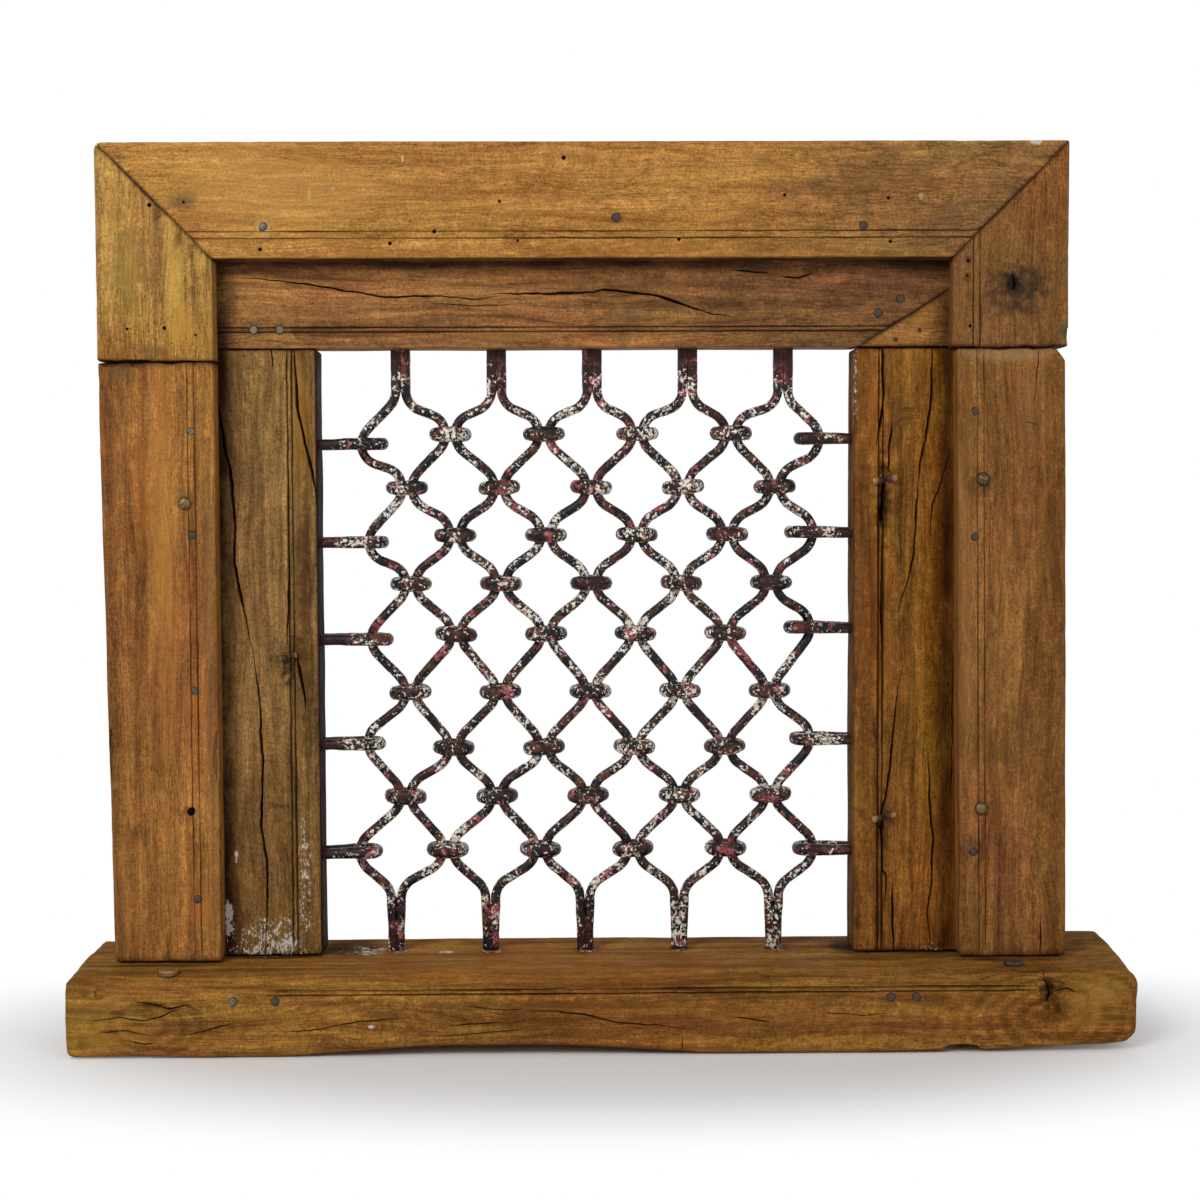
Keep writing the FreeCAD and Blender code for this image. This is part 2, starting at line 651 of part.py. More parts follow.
def make_corner_block(label, side, outer, inner, lap, joint):
    """The upper end of a side, mitred to the header and standing on its post."""
    body = new_body(label)
    outline = [
        (inner, joint),
        (inner, f"{HEADER_LOW} - mitre_gap"),
        (outer, f"{HEADER_TOP} - mitre_gap"),
        (outer, joint),
    ]
    prism(body, "Timber", "XZ_Plane", FACE, "timber_depth", [outline])
    edges = (lap, inner) if side < 0 else (inner, lap)
    rebate = rect(*edges, joint, LAP_TOP)
    cut_through_front(body, "Rebate", INNER_FACE, "timber_depth - lip_thickness", [rebate])
    front = f"{POST_TENON_FRONT} - fit_gap"
    depth = "post_tenon_thickness + 2 * fit_gap"
    cut_through_front(body, "MitreMortise", front, depth, [mitre_tenon(side, "fit_gap")])
    mortise = [post_tenon(side, "fit_gap")]
    prism(body, "PostMortise", "XY_Plane", joint, "post_tenon_length + fit_gap", mortise, cut=True)
    away = "-" if side < 0 else "+"
    lines = leaning_strips(inner, joint, inner, HEADER_TOP, "frame_groove_inset", "frame_groove_pitch", away)
    grooves(body, "Grooves", FACE, lines)
    nodes.append(body)


def make_post(label, side, outline, lap, joint, nails, domes):
    """A side timber from the sill to its corner block, with a tenon at each end."""
    body = new_body(label)
    prism(body, "Timber", "XZ_Plane", FACE, "timber_depth", [outline])
    foot_inner, head_inner = (outline[1][0], outline[2][0]) if side < 0 else (outline[0][0], outline[3][0])
    rebate = [(lap, "sill_height"), (foot_inner, "sill_height"), (head_inner, joint), (lap, joint)]
    cut_through_front(body, "Rebate", INNER_FACE, "timber_depth - lip_thickness", [rebate])
    foot = "sill_height - post_tenon_length"
    length = f"{joint} - sill_height + 2 * post_tenon_length"
    prism(body, "Tenons", "XY_Plane", foot, length, [post_tenon(side, "0")])
    away = "-" if side < 0 else "+"
    lines = leaning_strips(
        foot_inner, "sill_height", head_inner, joint, "frame_groove_inset", "frame_groove_pitch", away)
    grooves(body, "Grooves", FACE, lines)
    nail_cuts(body, FACE, nails)
    cut_through_front(body, "DomeHoles", FACE, "lip_thickness",
                      [Circle(x, z, "nail_diameter / 2 + fit_gap") for x, z in domes])
    nodes.append(body)
    return body


def make_inner_header():
    """The top of the inner frame, with a slanted right end."""
    body = new_body("inner_header")
    outline = [
        (f"{LAP_LEFT} + fit_gap", OPEN_TOP),
        (OPEN_RIGHT, OPEN_TOP),
        (f"{LAP_RIGHT} - fit_gap", WEDGE_TOP),
        (f"{LAP_RIGHT} - fit_gap", f"{LAP_TOP} - fit_gap"),
        (f"{LAP_LEFT} + fit_gap", f"{LAP_TOP} - fit_gap"),
    ]
    prism(body, "Timber", "XZ_Plane", INNER_FACE, "inner_thickness", [outline])
    for side, word in ((-1, "left"), (1, "right")):
        mortise = [stile_tenon(side, "fit_gap")]
        rise = f"{word}_tenon_rise + fit_gap"
        prism(body, f"{word.title()}Mortise", "XY_Plane", OPEN_TOP, rise, mortise, cut=True)
    prism(body, "BarSockets", "XY_Plane", OPEN_TOP, "bar_socket_depth + fit_gap", pair_sockets(0), cut=True)
    holes = [Circle(x, z, "pin_diameter / 2 + fit_gap") for x, z in LEFT_PINS + RIGHT_PINS]
    cut_through_front(body, "PinHoles", INNER_FACE, f"{HEADER_PIN_LENGTH} + fit_gap", holes)
    blind_nail_holes(body, HEADER_NAILS)
    first = f"({OPEN_TOP} + header_groove_inset)"
    lines = level_strips(LAP_LEFT, LAP_RIGHT, first, "inner_groove_pitch", "+")
    grooves(body, "Grooves", INNER_FACE, lines)
    nodes.append(body)


def make_wedge():
    """The three-cornered piece over the right stile, pierced by that stile's tenon."""
    body = new_body("inner_corner_wedge")
    outline = [
        (f"{OPEN_RIGHT} + fit_gap * right_stile_face / wedge_rise", OPEN_TOP),
        (f"{LAP_RIGHT} - fit_gap", OPEN_TOP),
        (f"{LAP_RIGHT} - fit_gap", f"{WEDGE_TOP} - fit_gap"),
    ]
    prism(body, "Timber", "XZ_Plane", INNER_FACE, "inner_thickness", [outline])
    slot = [stile_tenon(1, "fit_gap")]
    prism(body, "TenonSlot", "XY_Plane", OPEN_TOP, f"{WEDGE_TOP} - {OPEN_TOP}", slot, cut=True)
    holes = [Circle(x, z, "brad_diameter / 2 + fit_gap") for x, z in BRADS]
    cut_through_front(body, "BradHoles", INNER_FACE, "brad_length + fit_gap", holes)
    nodes.append(body)


def make_stile(label, side, edges, rise, pins, nails, staples):
    """A side of the inner frame, tenoned into the sill and the inner header."""
    body = new_body(label)
    prism(body, "Timber", "XZ_Plane", INNER_FACE, "inner_thickness", [rect(*edges, "sill_height", OPEN_TOP)])
    length = f"{OPEN_TOP} + {rise} - sill_height + stile_tenon_drop"
    prism(body, "Tenons", "XY_Plane", "sill_height - stile_tenon_drop", length, [stile_tenon(side, "0")])
    holes = [Circle(x, z, "pin_diameter / 2 + fit_gap") for x, z in pins]
    cut_through_front(body, "PinHoles", INNER_FACE, "inner_thickness", holes)
    blind_nail_holes(body, nails)
    start = f"{OPEN_LEFT} - tie_socket_depth - fit_gap" if side < 0 else OPEN_RIGHT
    prism(body, "TieSockets", "YZ_Plane", start, "tie_socket_depth + fit_gap", tie_sockets(side), cut=True)
    slots = [Slot(x, z, STAPLE_HALF, "staple_diameter / 2 + fit_gap") for x, z in staples]
    cut_through_front(body, "StapleSlots", INNER_FACE, "inner_thickness", slots)
    mouths = [slot._replace(half=f"{STAPLE_HALF} + staple_mouth") for slot in slots]
    cut_through_front(body, "StapleMouths", INNER_FACE, "staple_bend_radius", mouths)
    opening, away = (OPEN_LEFT, "-") if side < 0 else (OPEN_RIGHT, "+")
    lines = leaning_strips(
        opening, "sill_height", opening, OPEN_TOP, "stile_groove_inset", "inner_groove_pitch", away)
    grooves(body, "Grooves", INNER_FACE, lines)
    nodes.append(body)
    return body


def path_object(name, edges):
    """The centre line of a bent rod."""
    path = doc.addObject("Part::Feature", name)
    path.Shape = Part.Wire([edge.toShape() for edge in edges])
    return path


def bent_rod(label, path, diameter, start, rotation):
    """A round rod swept along its centre line."""
    circle = doc.addObject("Part::Circle", f"{label}_section")
    circle.setExpression("Radius", bound(f"{diameter} / 2"))
    circle.Placement = FreeCAD.Placement(start, rotation)
    rod = doc.addObject("Part::Sweep", label)
    rod.Label = label
    rod.Sections = [circle]
    rod.Spine = (path, [f"Edge{n}" for n in range(1, len(path.Shape.Edges) + 1)])
    rod.Solid = True
    rod.Frenet = False
    return rod


def s_bend(low, high):
    """Arc, straight and arc from one upright stretch of a bar to the next, in the grille's plane."""
    across = high.x - low.x
    rise = high.z - low.z
    sign = math.copysign(1, across)
    widest = (across * across + rise * rise) / (4 * abs(across))
    radius = min(value("bar_bend_radius"), BEND_SHARE * widest)
    run = abs(across) - 2 * radius
    turn = math.atan2(run, rise) + math.asin(2 * radius / math.hypot(run, rise))

    def on_arc(centre, angle, way):
        return centre + Vector(-way * sign * radius * math.cos(angle), 0, way * radius * math.sin(angle))

    low_centre = low + Vector(sign * radius, 0, 0)
    high_centre = high - Vector(sign * radius, 0, 0)
    leave = on_arc(low_centre, turn, 1)
    arrive = on_arc(high_centre, turn, -1)
    return [
        Part.Arc(low, on_arc(low_centre, turn / 2, 1), leave),
        Part.LineSegment(leave, arrive),
        Part.Arc(arrive, on_arc(high_centre, turn / 2, -1), high),
    ]


def make_bar(number, column, side):
    """One wavy bar, from its socket in the sill to its socket in the inner header."""
    grille_y = value(GRILLE_Y)
    knots = []
    for row in range(ROWS, -1, -1):
        outer = column == (0 if side < 0 else PAIRS - 1)
        height = tie_height(side, row) if outer and row in ODD_ROWS else row_height(row)
        knots.append(Vector(value(bar_x(column, side, row)), grille_y, value(height)))
    foot = Vector(knots[0].x, grille_y, value("sill_height - bar_socket_depth"))
    head = Vector(knots[-1].x, grille_y, value(f"{OPEN_TOP} + bar_socket_depth"))
    edges = [Part.LineSegment(foot, knots[0])]
    for low, high in zip(knots, knots[1:]):
        edges += s_bend(low, high)
    edges.append(Part.LineSegment(knots[-1], head))
    label = f"grille_bar_{number}"
    path = path_object(f"{label}_path", edges)
    nodes.append(bent_rod(label, path, "bar_diameter", foot, FreeCAD.Rotation()))


def make_tie(number, side):
    """A U-shaped rod round an outer bar, its two legs driven into the stile."""
    row = ODD_ROWS[number - 1]
    column = 0 if side < 0 else PAIRS - 1
    opening = OPEN_LEFT if side < 0 else OPEN_RIGHT
    z = value(tie_height(side, row))
    bar = Vector(value(bar_x(column, side, row)), value(GRILLE_Y), z)
    leg = Vector(0, value(TIE_LEG), 0)
    bend = Vector(-side * value(TIE_LEG), 0, 0)
    root = Vector(value(f"{opening} + ({side}) * tie_socket_depth"), bar.y, z)
    edges = [
        Part.LineSegment(root - leg, bar - leg),
        Part.Arc(bar - leg, bar + bend, bar + leg),
        Part.LineSegment(bar + leg, root + leg),
    ]
    label = ("left" if side < 0 else "right") + f"_tie_{number}"
    nodes.append(bent_rod(label, path_object(f"{label}_path", edges), "tie_diameter", root - leg, ALONG_X))


def make_collar():
    """The pattern for all collars: an oval ring of flattened rod round two bars."""
    half = value(PAIR_HALF)
    out = value("(bar_diameter + collar_wall) / 2 + fit_gap")
    front = Vector(0, -out, 0)
    side = Vector(half, 0, 0)
    bulge = Vector(out, 0, 0)
    edges = [
        Part.LineSegment(front, front + side),
        Part.Arc(front + side, side + bulge, side - front),
        Part.LineSegment(side - front, -side - front),
        Part.Arc(-side - front, -side - bulge, front - side),
        Part.LineSegment(front - side, front),
    ]
    section = doc.addObject("Part::Ellipse", "collar_section")
    section.setExpression("MajorRadius", bound("collar_height / 2"))
    section.setExpression("MinorRadius", bound("collar_wall / 2"))
    section.Placement = FreeCAD.Placement(front, ALONG_X)
    ring = doc.addObject("Part::Sweep", "collar_pattern")
    path = path_object("collar_path", edges)
    ring.Sections = [section]
    ring.Spine = (path, [f"Edge{n}" for n in range(1, len(edges) + 1)])
    ring.Solid = True
    return ring


def make_group(label, pattern, places, rotation=FreeCAD.Rotation()):
    """Separate copies of one pattern, kept together as one named group."""
    copies = []
    for number, (x, y, z) in enumerate(places, 1):
        copy = doc.addObject("App::Link", f"{label}_{number}")
        copy.LinkedObject = pattern
        copy.Placement = FreeCAD.Placement(Vector(value(x), value(y), value(z)), rotation)
        for axis, text in zip("xyz", (x, y, z)):
            copy.setExpression(f"Placement.Base.{axis}", bound(text))
        copies.append(copy)
    group = doc.addObject("Part::Compound", label)
    group.Label = label
    group.Links = copies
    nodes.append(group)


def make_fastener(name, profile, dome=None):
    """A turned pattern whose axis runs in along Y, its head towards the front."""
    body = new_body(name)
    sketch = new_sketch(body, f"{name}Sketch", "XY_Plane", "0", [] if dome else [profile])
    if dome:
        draw_arc_region(sketch, profile, spot(*dome[0]), dome[1])
    turned = body.newObject("PartDesign::Revolution", f"{name}Turned")
    turned.Profile = sketch
    turned.ReferenceAxis = (sketch, ["V_Axis"])
    turned.Angle = 360
    return body


def nail_profile(head, proud, recess, shank, length, point):
    """Half outline of a nail: flat head, shank and point."""
    return [
        ("0", f"-({proud})"),
        (f"{head} / 2", f"-({proud})"),
        (f"{head} / 2", recess),
        (f"{shank} / 2", recess),
        (f"{shank} / 2", f"{length} - {point}"),
        ("0", length),
    ]


def domed_profile(head, height, shank, length, point):
    """Half outline of a domed nail without the arc of its dome, and that arc's middle and radius."""
    outline = [
        (f"{head} / 2", "0"),
        (f"{shank} / 2", "0"),
        (f"{shank} / 2", f"{length} - {point}"),
        ("0", length),
        ("0", f"-({height})"),
    ]
    radius = f"(({head} * {head} / 4 + {height} * {height}) / (2 * {height}))"
    centre = f"({radius} - {height})"
    # The dome's middle lies where half the head's half-width meets the arc.
    quarter = f"({head} / 4)"
    middle = (quarter, f"{centre} - sqrt({radius} * {radius} - {quarter} * {quarter})")
    return outline, (middle, radius)


def pin_profile(length, proud):
    """Half outline of a plain round pin."""
    return [
        ("0", f"-({proud})"),
        ("pin_diameter / 2", f"-({proud})"),
        ("pin_diameter / 2", length),
        ("0", length),
    ]


def on_face(spots, face):
    """Front places given their depth."""
    return [(x, face, z) for x, z in spots]


def make_staple(label, spots):
    """Split staples: an eye behind the stile, two legs through it, their ends bent apart in front."""
    patterns = []
    leg = value(STAPLE_HALF)
    bend = value("staple_bend_radius")
    eye = value("staple_eye_radius")
    reach = value("staple_leg_reach")
    front = value(f"{INNER_FACE} - staple_diameter / 2 - fit_gap")
    neck = value(f"{INNER_BACK} + fit_gap")
    flare = leg + bend
    eye_y = neck + math.sqrt((eye + bend) ** 2 - flare ** 2)
    touch = eye / (eye + bend)
    touch_y = eye_y + (neck - eye_y) * touch
    quarter = bend * (1 - math.sqrt(0.5))
    swing = math.atan2(eye_y - neck, flare) / 2
    mid_flare = Vector(flare - bend * math.cos(swing), neck + bend * math.sin(swing), 0)

    def mirrored(point, side):
        return Vector(side * point.x, point.y, 0)

    for number, (x, z) in enumerate(spots, 1):
        tip = Vector(leg + bend + reach, front, 0)
        turn = Vector(leg + bend, front, 0)
        corner = Vector(leg + quarter, front + quarter, 0)
        enter = Vector(leg, front + bend, 0)
        leave = Vector(leg, neck, 0)
        throat = Vector(flare * touch, touch_y, 0)
        crown = Vector(0, eye_y + eye, 0)
        edges = [
            Part.LineSegment(mirrored(tip, -1), mirrored(turn, -1)),
            Part.Arc(mirrored(turn, -1), mirrored(corner, -1), mirrored(enter, -1)),
            Part.LineSegment(mirrored(enter, -1), mirrored(leave, -1)),
            Part.Arc(mirrored(leave, -1), mirrored(mid_flare, -1), mirrored(throat, -1)),
            Part.Arc(mirrored(throat, -1), crown, throat),
            Part.Arc(throat, mid_flare, leave),
            Part.LineSegment(leave, enter),
            Part.Arc(enter, corner, turn),
            Part.LineSegment(turn, tip),
        ]
        place = Vector(value(x), 0, value(z))
        for edge in edges:
            edge.translate(place)
        name = label if len(spots) == 1 else f"{label}_{number}"
        path = path_object(f"{name}_path", edges)
        patterns.append(bent_rod(name, path, "staple_diameter", mirrored(tip, -1) + place, ALONG_X))
    if len(patterns) == 1:
        nodes.append(patterns[0])
        return
    group = doc.addObject("Part::Compound", label)
    group.Label = label
    group.Links = patterns
    nodes.append(group)


def make_outer_frame():
    """Sill, header, corner blocks and posts."""
    make_sill()
    make_header()
    make_corner_block("left_corner_block", -1, FRAME_LEFT, POST_LEFT, LAP_LEFT, LEFT_JOINT)
    make_corner_block("right_corner_block", 1, FRAME_RIGHT, POST_RIGHT, LAP_RIGHT, RIGHT_JOINT)
    outline = [
        (f"{FRAME_LEFT} + left_post_taper", "sill_height"),
        (POST_LEFT, "sill_height"),
        (POST_LEFT, LEFT_JOINT),
        (FRAME_LEFT, LEFT_JOINT),
    ]
    left = make_post("left_post", -1, outline, LAP_LEFT, LEFT_JOINT, LEFT_NAILS, LEFT_DOMES)
    hole_x = f"{POST_LEFT} - nail_hole_inset"
    empty_hole = Circle(hole_x, "sill_height + nail_hole_rise", "nail_hole_diameter / 2")
    cut_through_front(left, "EmptyNailHole", FACE, "lip_thickness", [empty_hole])
    head = f"({POST_RIGHT} + right_post_inset)"
    foot = f"({head} + right_post_shift)"
    outline = [
        (foot, "sill_height"),
        (f"{foot} + right_post_width", "sill_height"),
        (f"{head} + right_post_width", RIGHT_JOINT),
        (head, RIGHT_JOINT),
    ]
    make_post("right_post", 1, outline, LAP_RIGHT, RIGHT_JOINT, RIGHT_NAILS, RIGHT_DOMES)


def make_inner_frame():
    """Inner header with its wedge, and the two stiles."""
    make_inner_header()
    make_wedge()
    left_edges = (f"{LAP_LEFT} + fit_gap", OPEN_LEFT)
    right_edges = (OPEN_RIGHT, f"{LAP_RIGHT} - fit_gap")
    pins = LEFT_PINS + LEFT_SILL_PINS
    nails = LEFT_NAILS + LEFT_DOMES
    make_stile("left_inner_stile", -1, left_edges, "left_tenon_rise", pins, nails, [LATCH])
    pins = RIGHT_PINS + RIGHT_SILL_PINS
    nails = RIGHT_NAILS + RIGHT_DOMES
    stile = make_stile("right_inner_stile", 1, right_edges, "right_tenon_rise", pins, nails, HINGES)
    holes = [Circle(x, z, "brad_diameter / 2 + fit_gap") for x, z in BRADS]
    cut_through_front(stile, "BradHoles", INNER_FACE, "brad_length + fit_gap", holes)


def make_grille():
    """Ten bars, their collars and their ties."""
    for column in range(PAIRS):
        for place, side in enumerate((-1, 1), 1):
            make_bar(2 * column + place, column, side)
    collar = make_collar()
    for row in range(1, ROWS):
        columns = range(PAIRS) if row % 2 == 0 else [column + 0.5 for column in range(PAIRS - 1)]
        places = [(pair_x(column, row), GRILLE_Y, row_height(row)) for column in columns]
        make_group(f"collars_row_{row}", collar, places)
    for number in range(1, len(ODD_ROWS) + 1):
        make_tie(number, -1)
        make_tie(number, 1)


def make_fasteners():
    """Nails, pins, brads, spikes and staples."""
    proud = "nail_head_height - nail_recess"
    nail = make_fastener("nail_pattern", nail_profile(
        "nail_head_diameter", proud, "nail_recess", "nail_diameter", "nail_length", "nail_point_length"))
    make_group("header_nails", nail, on_face(HEADER_NAILS, FACE))
    make_group("left_post_nails", nail, on_face(LEFT_NAILS, FACE))
    make_group("right_post_nails", nail, on_face(RIGHT_NAILS, FACE))
    dome = make_fastener("dome_pattern", *domed_profile(
        "dome_diameter", "dome_height", "nail_diameter", "nail_length", "nail_point_length"))
    make_group("domed_nails", dome, on_face(LEFT_DOMES + RIGHT_DOMES, FACE))
    pin = make_fastener("header_pin_pattern", pin_profile(HEADER_PIN_LENGTH, "pin_proud"))
    make_group("inner_header_pins", pin, on_face(LEFT_PINS + RIGHT_PINS, INNER_FACE))
    pin = make_fastener("sill_pin_pattern", pin_profile(SILL_PIN_LENGTH, "0"))
    make_group("sill_pins", pin, on_face(LEFT_SILL_PINS + RIGHT_SILL_PINS, SILL_FRONT))
    brad = make_fastener("brad_pattern", nail_profile(
        "brad_head_diameter", "brad_head_height", "0", "brad_diameter", "brad_length", "brad_point_length"))
    make_group("wedge_brads", brad, on_face(BRADS, INNER_FACE))
    spike = make_fastener("spike_pattern", *domed_profile(
        "spike_head_diameter", "spike_head_height", "spike_diameter", "spike_length", "spike_point_length"))
    make_group("sill_spikes", spike, [(x, y, "sill_height") for x, y in SPIKES], DOWN)
    make_staple("latch_staple", [LATCH])
    make_staple("hinge_staples", HINGES)


def check_document():
    """Stops on a failed object, a cut that took nothing away, or a piece that isn't sound."""
    faults = []
    for thing in doc.Objects:
        if "Invalid" in thing.State or "Error" in thing.State:
            faults.append(f"{thing.Label}: {thing.State}")
        if thing.TypeId == "PartDesign::Pocket":
            if thing.Shape.Volume >= thing.BaseFeature.Shape.Volume - TOUCH:
                faults.append(f"{thing.Label} cuts nothing")
    for node in nodes:
        if node.Shape.isNull() or not node.Shape.isValid() or not node.Shape.Solids:
            faults.append(f"{node.Label}: no sound solid")
    if faults:
        raise RuntimeError("; ".join(faults))


make_outer_frame()
make_inner_frame()
make_grille()
make_fasteners()
doc.recompute()
check_document()
os.makedirs("parts", exist_ok=True)
for node in nodes:
    node.Shape.exportStep(f"parts/{node.Label}.step")
    print(f"{node.Label}: {len(node.Shape.Solids)} solid, {node.Shape.Volume / 1000:.1f} cm3")
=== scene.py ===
"""The looks of an old teak window frame with a fixed grille of forged iron."""
import functools
import math
from dataclasses import dataclass

import bmesh
import bpy
from bpy.props import FloatProperty, FloatVectorProperty, PointerProperty
from mathutils import Matrix, Vector, noise
from mathutils.bvhtree import BVHTree


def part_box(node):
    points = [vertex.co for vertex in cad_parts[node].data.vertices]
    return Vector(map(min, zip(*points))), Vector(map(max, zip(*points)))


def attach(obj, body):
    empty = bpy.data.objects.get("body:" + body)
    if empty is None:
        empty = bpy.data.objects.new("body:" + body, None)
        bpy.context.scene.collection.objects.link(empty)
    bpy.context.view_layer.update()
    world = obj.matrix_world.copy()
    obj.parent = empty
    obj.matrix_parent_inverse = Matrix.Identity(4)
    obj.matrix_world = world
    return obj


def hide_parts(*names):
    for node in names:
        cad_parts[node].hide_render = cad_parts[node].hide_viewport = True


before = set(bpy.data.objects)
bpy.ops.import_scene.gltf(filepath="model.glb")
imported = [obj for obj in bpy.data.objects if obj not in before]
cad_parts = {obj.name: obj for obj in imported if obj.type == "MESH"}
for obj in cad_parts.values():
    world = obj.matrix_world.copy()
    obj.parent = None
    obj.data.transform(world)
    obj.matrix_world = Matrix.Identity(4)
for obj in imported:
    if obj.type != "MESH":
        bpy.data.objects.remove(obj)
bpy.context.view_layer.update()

bl_info = {
    "name": "Jali window",
    "version": (1, 0, 0),
    "blender": (4, 5, 0),
    "location": "View3D > Sidebar > Jali window",
    "description": "Weathered teak frame and forged iron grille of a jali window",
    "category": "Object",
}

MM = 0.001
X, Y, Z = Vector((1, 0, 0)), Vector((0, 1, 0)), Vector((0, 0, 1))
ALONG_X, ALONG_Z = 0, 2
WELD = 0.001 * MM           # points closer than this become one
OVERHANG = 10 * MM          # how far a cutter reaches out of the wood
SAW_GAP = 0.15 * MM         # half the gap of a sawn joint


def lowest(node):
    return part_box(node)[0]


def highest(node):
    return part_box(node)[1]


# Planes of the frame, read from the solids
(FRAME_LEFT, FACE, HEADER_LOW), (FRAME_RIGHT, BACK, HEADER_TOP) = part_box("header")
(LAP_LEFT, INNER_FACE, OPEN_TOP), (LAP_RIGHT, INNER_BACK, LAP_TOP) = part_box("inner_header")
SILL_LEFT, SILL_FRONT = lowest("sill").xy
SILL_RIGHT, SILL_TOP = highest("sill").xz
OPEN_LEFT = highest("left_inner_stile").x
OPEN_RIGHT = lowest("right_inner_stile").x
WEDGE_TOP = highest("inner_corner_wedge").z
POST_LEFT = highest("left_corner_block").x
POST_RIGHT = lowest("right_corner_block").x
LEFT_JOINT = lowest("left_corner_block").z
RIGHT_JOINT = lowest("right_corner_block").z
RIGHT_POST_HEAD = lowest("right_post").x
RIGHT_POST_FOOT = highest("right_post").x
GRILLE = (lowest("grille_bar_1").y + highest("grille_bar_1").y) / 2

# Sizes that the solids hold but their boxes don't show
LEFT_POST_TAPER = 6.5 * MM
RIGHT_POST_SHIFT = 4.7 * MM
REAR_BEVEL = 2 * MM
REBATE_REACH = 30 * MM
FRAME_GROOVES = (17.3 * MM, 23.1 * MM)
HEADER_GROOVES = (14.2 * MM, 18.0 * MM)
STILE_GROOVES = (18.5 * MM, 22.3 * MM)
SILL_GROOVES = (11.2 * MM, 14.8 * MM)
GROOVE_OVERRUN = 5          # how far scribed lines run past a timber, in millimetres
ARCH_START = SILL_LEFT + 195 * MM
ARCH_END = SILL_LEFT + 531 * MM
HEEL_START = SILL_RIGHT - 165 * MM
TOP_RUN = 35 * MM
FOOT_RUN = 45 * MM
BAR_BEND_RADIUS = 20 * MM
COLLAR_WALL = 10 * MM
PAIRS = 5
ROWS = 10

# Outline of the notch in the sill's foot, across and up in millimetres
SILL_NOTCH = ((284.5, -5), (285.5, 6), (290, 8), (304, 8.4), (312, 7), (317.5, 2.6), (330, 1.6), (331, -5))
# How much wider than its solid a stile is towards the opening
STILE_LAP = 3.5 * MM


def linear(code):
    """Turns an sRGB hex colour into linear red, green and blue."""
    parts = [int(code[place:place + 2], 16) / 255 for place in (1, 3, 5)]
    return tuple(part / 12.92 if part <= 0.04045 else ((part + 0.055) / 1.055) ** 2.4 for part in parts)


def swatch(name, code):
    """A colour that a user can change."""
    return FloatVectorProperty(
        name=name, description=f"Colour of the {name.lower()}", subtype="COLOR", size=3, min=0, max=1,
        default=linear(code))


def length(name, description, size):
    """A size that a user can change."""
    return FloatProperty(name=name, description=description, unit="LENGTH", default=size, min=0)


# Colours of each timber: pale wood, dark wood, and the colour it takes towards one side, which is partly
# its own tone and partly painted shade, as beside the right post
TEAK = {
    "header": ("#C38D49", "#91602A", "#604834"),
    "left_corner_block": ("#BF8F4A", "#805E30", "#AB7436"),
    "right_corner_block": ("#8D6035", "#674421", "#9F612F"),
    "left_post": ("#B3793C", "#6E4421", "#6F4423"),
    "right_post": ("#9F6B38", "#5F3A1A", "#633B15"),
    "inner_header": ("#B07944", "#664326", "#543A28"),
    "inner_corner_wedge": ("#B07B40", "#855A29", "#684A19"),
    "left_inner_stile": ("#9F7747", "#553C22", "#7B592F"),
    "right_inner_stile": ("#A56C2F", "#523317", "#7E4C06"),
    "sill": ("#AA7836", "#623B20", "#8E6025"),
}


class JaliTeak(bpy.types.PropertyGroup):
    """Colours of the timbers and of what lies on them."""
    pore: swatch("Pores", "#3F2710")
    # Dirt in the joints, and painted shade in the recesses under the lips, beside the posts and at the feet
    grime: swatch("Grime", "#25100A")
    # Painted shade deep in the cracks, holes and scribed lines
    crack: swatch("Crack walls", "#120904")
    reveal: swatch("Old paint round the opening", "#2A1B18")
    limewash: swatch("Lime wash", "#CFC9BF")


for timber_name, codes in TEAK.items():
    for tone_name, code in zip(("pale", "dark", "cast"), codes):
        JaliTeak.__annotations__[f"{timber_name}_{tone_name}"] = swatch(
            f"{timber_name.replace('_', ' ').capitalize()}, {tone_name}", code)


class JaliIron(bpy.types.PropertyGroup):
    """Colours of the grille's layers of paint and of the bare iron."""
    black: swatch("Black paint", "#0E0C10")
    maroon: swatch("Maroon paint", "#301817")
    rust: swatch("Rust", "#5E3524")
    red: swatch("Red paint", "#8E3036")
    pink: swatch("Faded red paint", "#B57C7C")
    cream: swatch("Cream paint", "#EFE9DB")
    dust: swatch("Soiled cream paint", "#978C7C")
    nail: swatch("Nail iron", "#3A2F25")
    rubbed: swatch("Rubbed nail iron", "#8C8B76")
    staple: swatch("Staple iron", "#36200F")
    dome: swatch("Rubbed domed nails", "#A58F5C")
    copper: swatch("Rubbed staple ends", "#A87A48")


class JaliWear(bpy.types.PropertyGroup):
    """Sizes of the wear."""
    grid: length("Grid", "Spacing of the mesh on the timbers", 4 * MM)
    arris: length("Arris", "Radius of the worn arrises", 2.8 * MM)
    hewn: length("Hewing", "Depth of the tool marks on the faces", 0.7 * MM)
    groove_width: length("Groove width", "Width of the scribed lines", 1.7 * MM)
    groove_depth: length("Groove depth", "Depth of the scribed lines", 1.2 * MM)
    hammer: length("Hammering", "Depth of the hammer marks on the iron", 0.35 * MM)


class JaliStage(bpy.types.PropertyGroup):
    """Camera and light."""
    lens: FloatProperty(name="Lens", description="Focal length of the camera", unit="CAMERA", default=61.5)
    key: FloatProperty(name="Key", description="Power of the lamp at upper left", unit="POWER", default=38)
    fill: FloatProperty(name="Fill", description="Power of the lamp at the right", unit="POWER", default=11)
    back: FloatProperty(name="Back", description="Power of the lamp behind", unit="POWER", default=12)
    sky: FloatProperty(name="Sky", description="Strength of the even light from all round", default=0.34)


# What has happened to each timber. Places are across and up in millimetres, on the timber's front face.

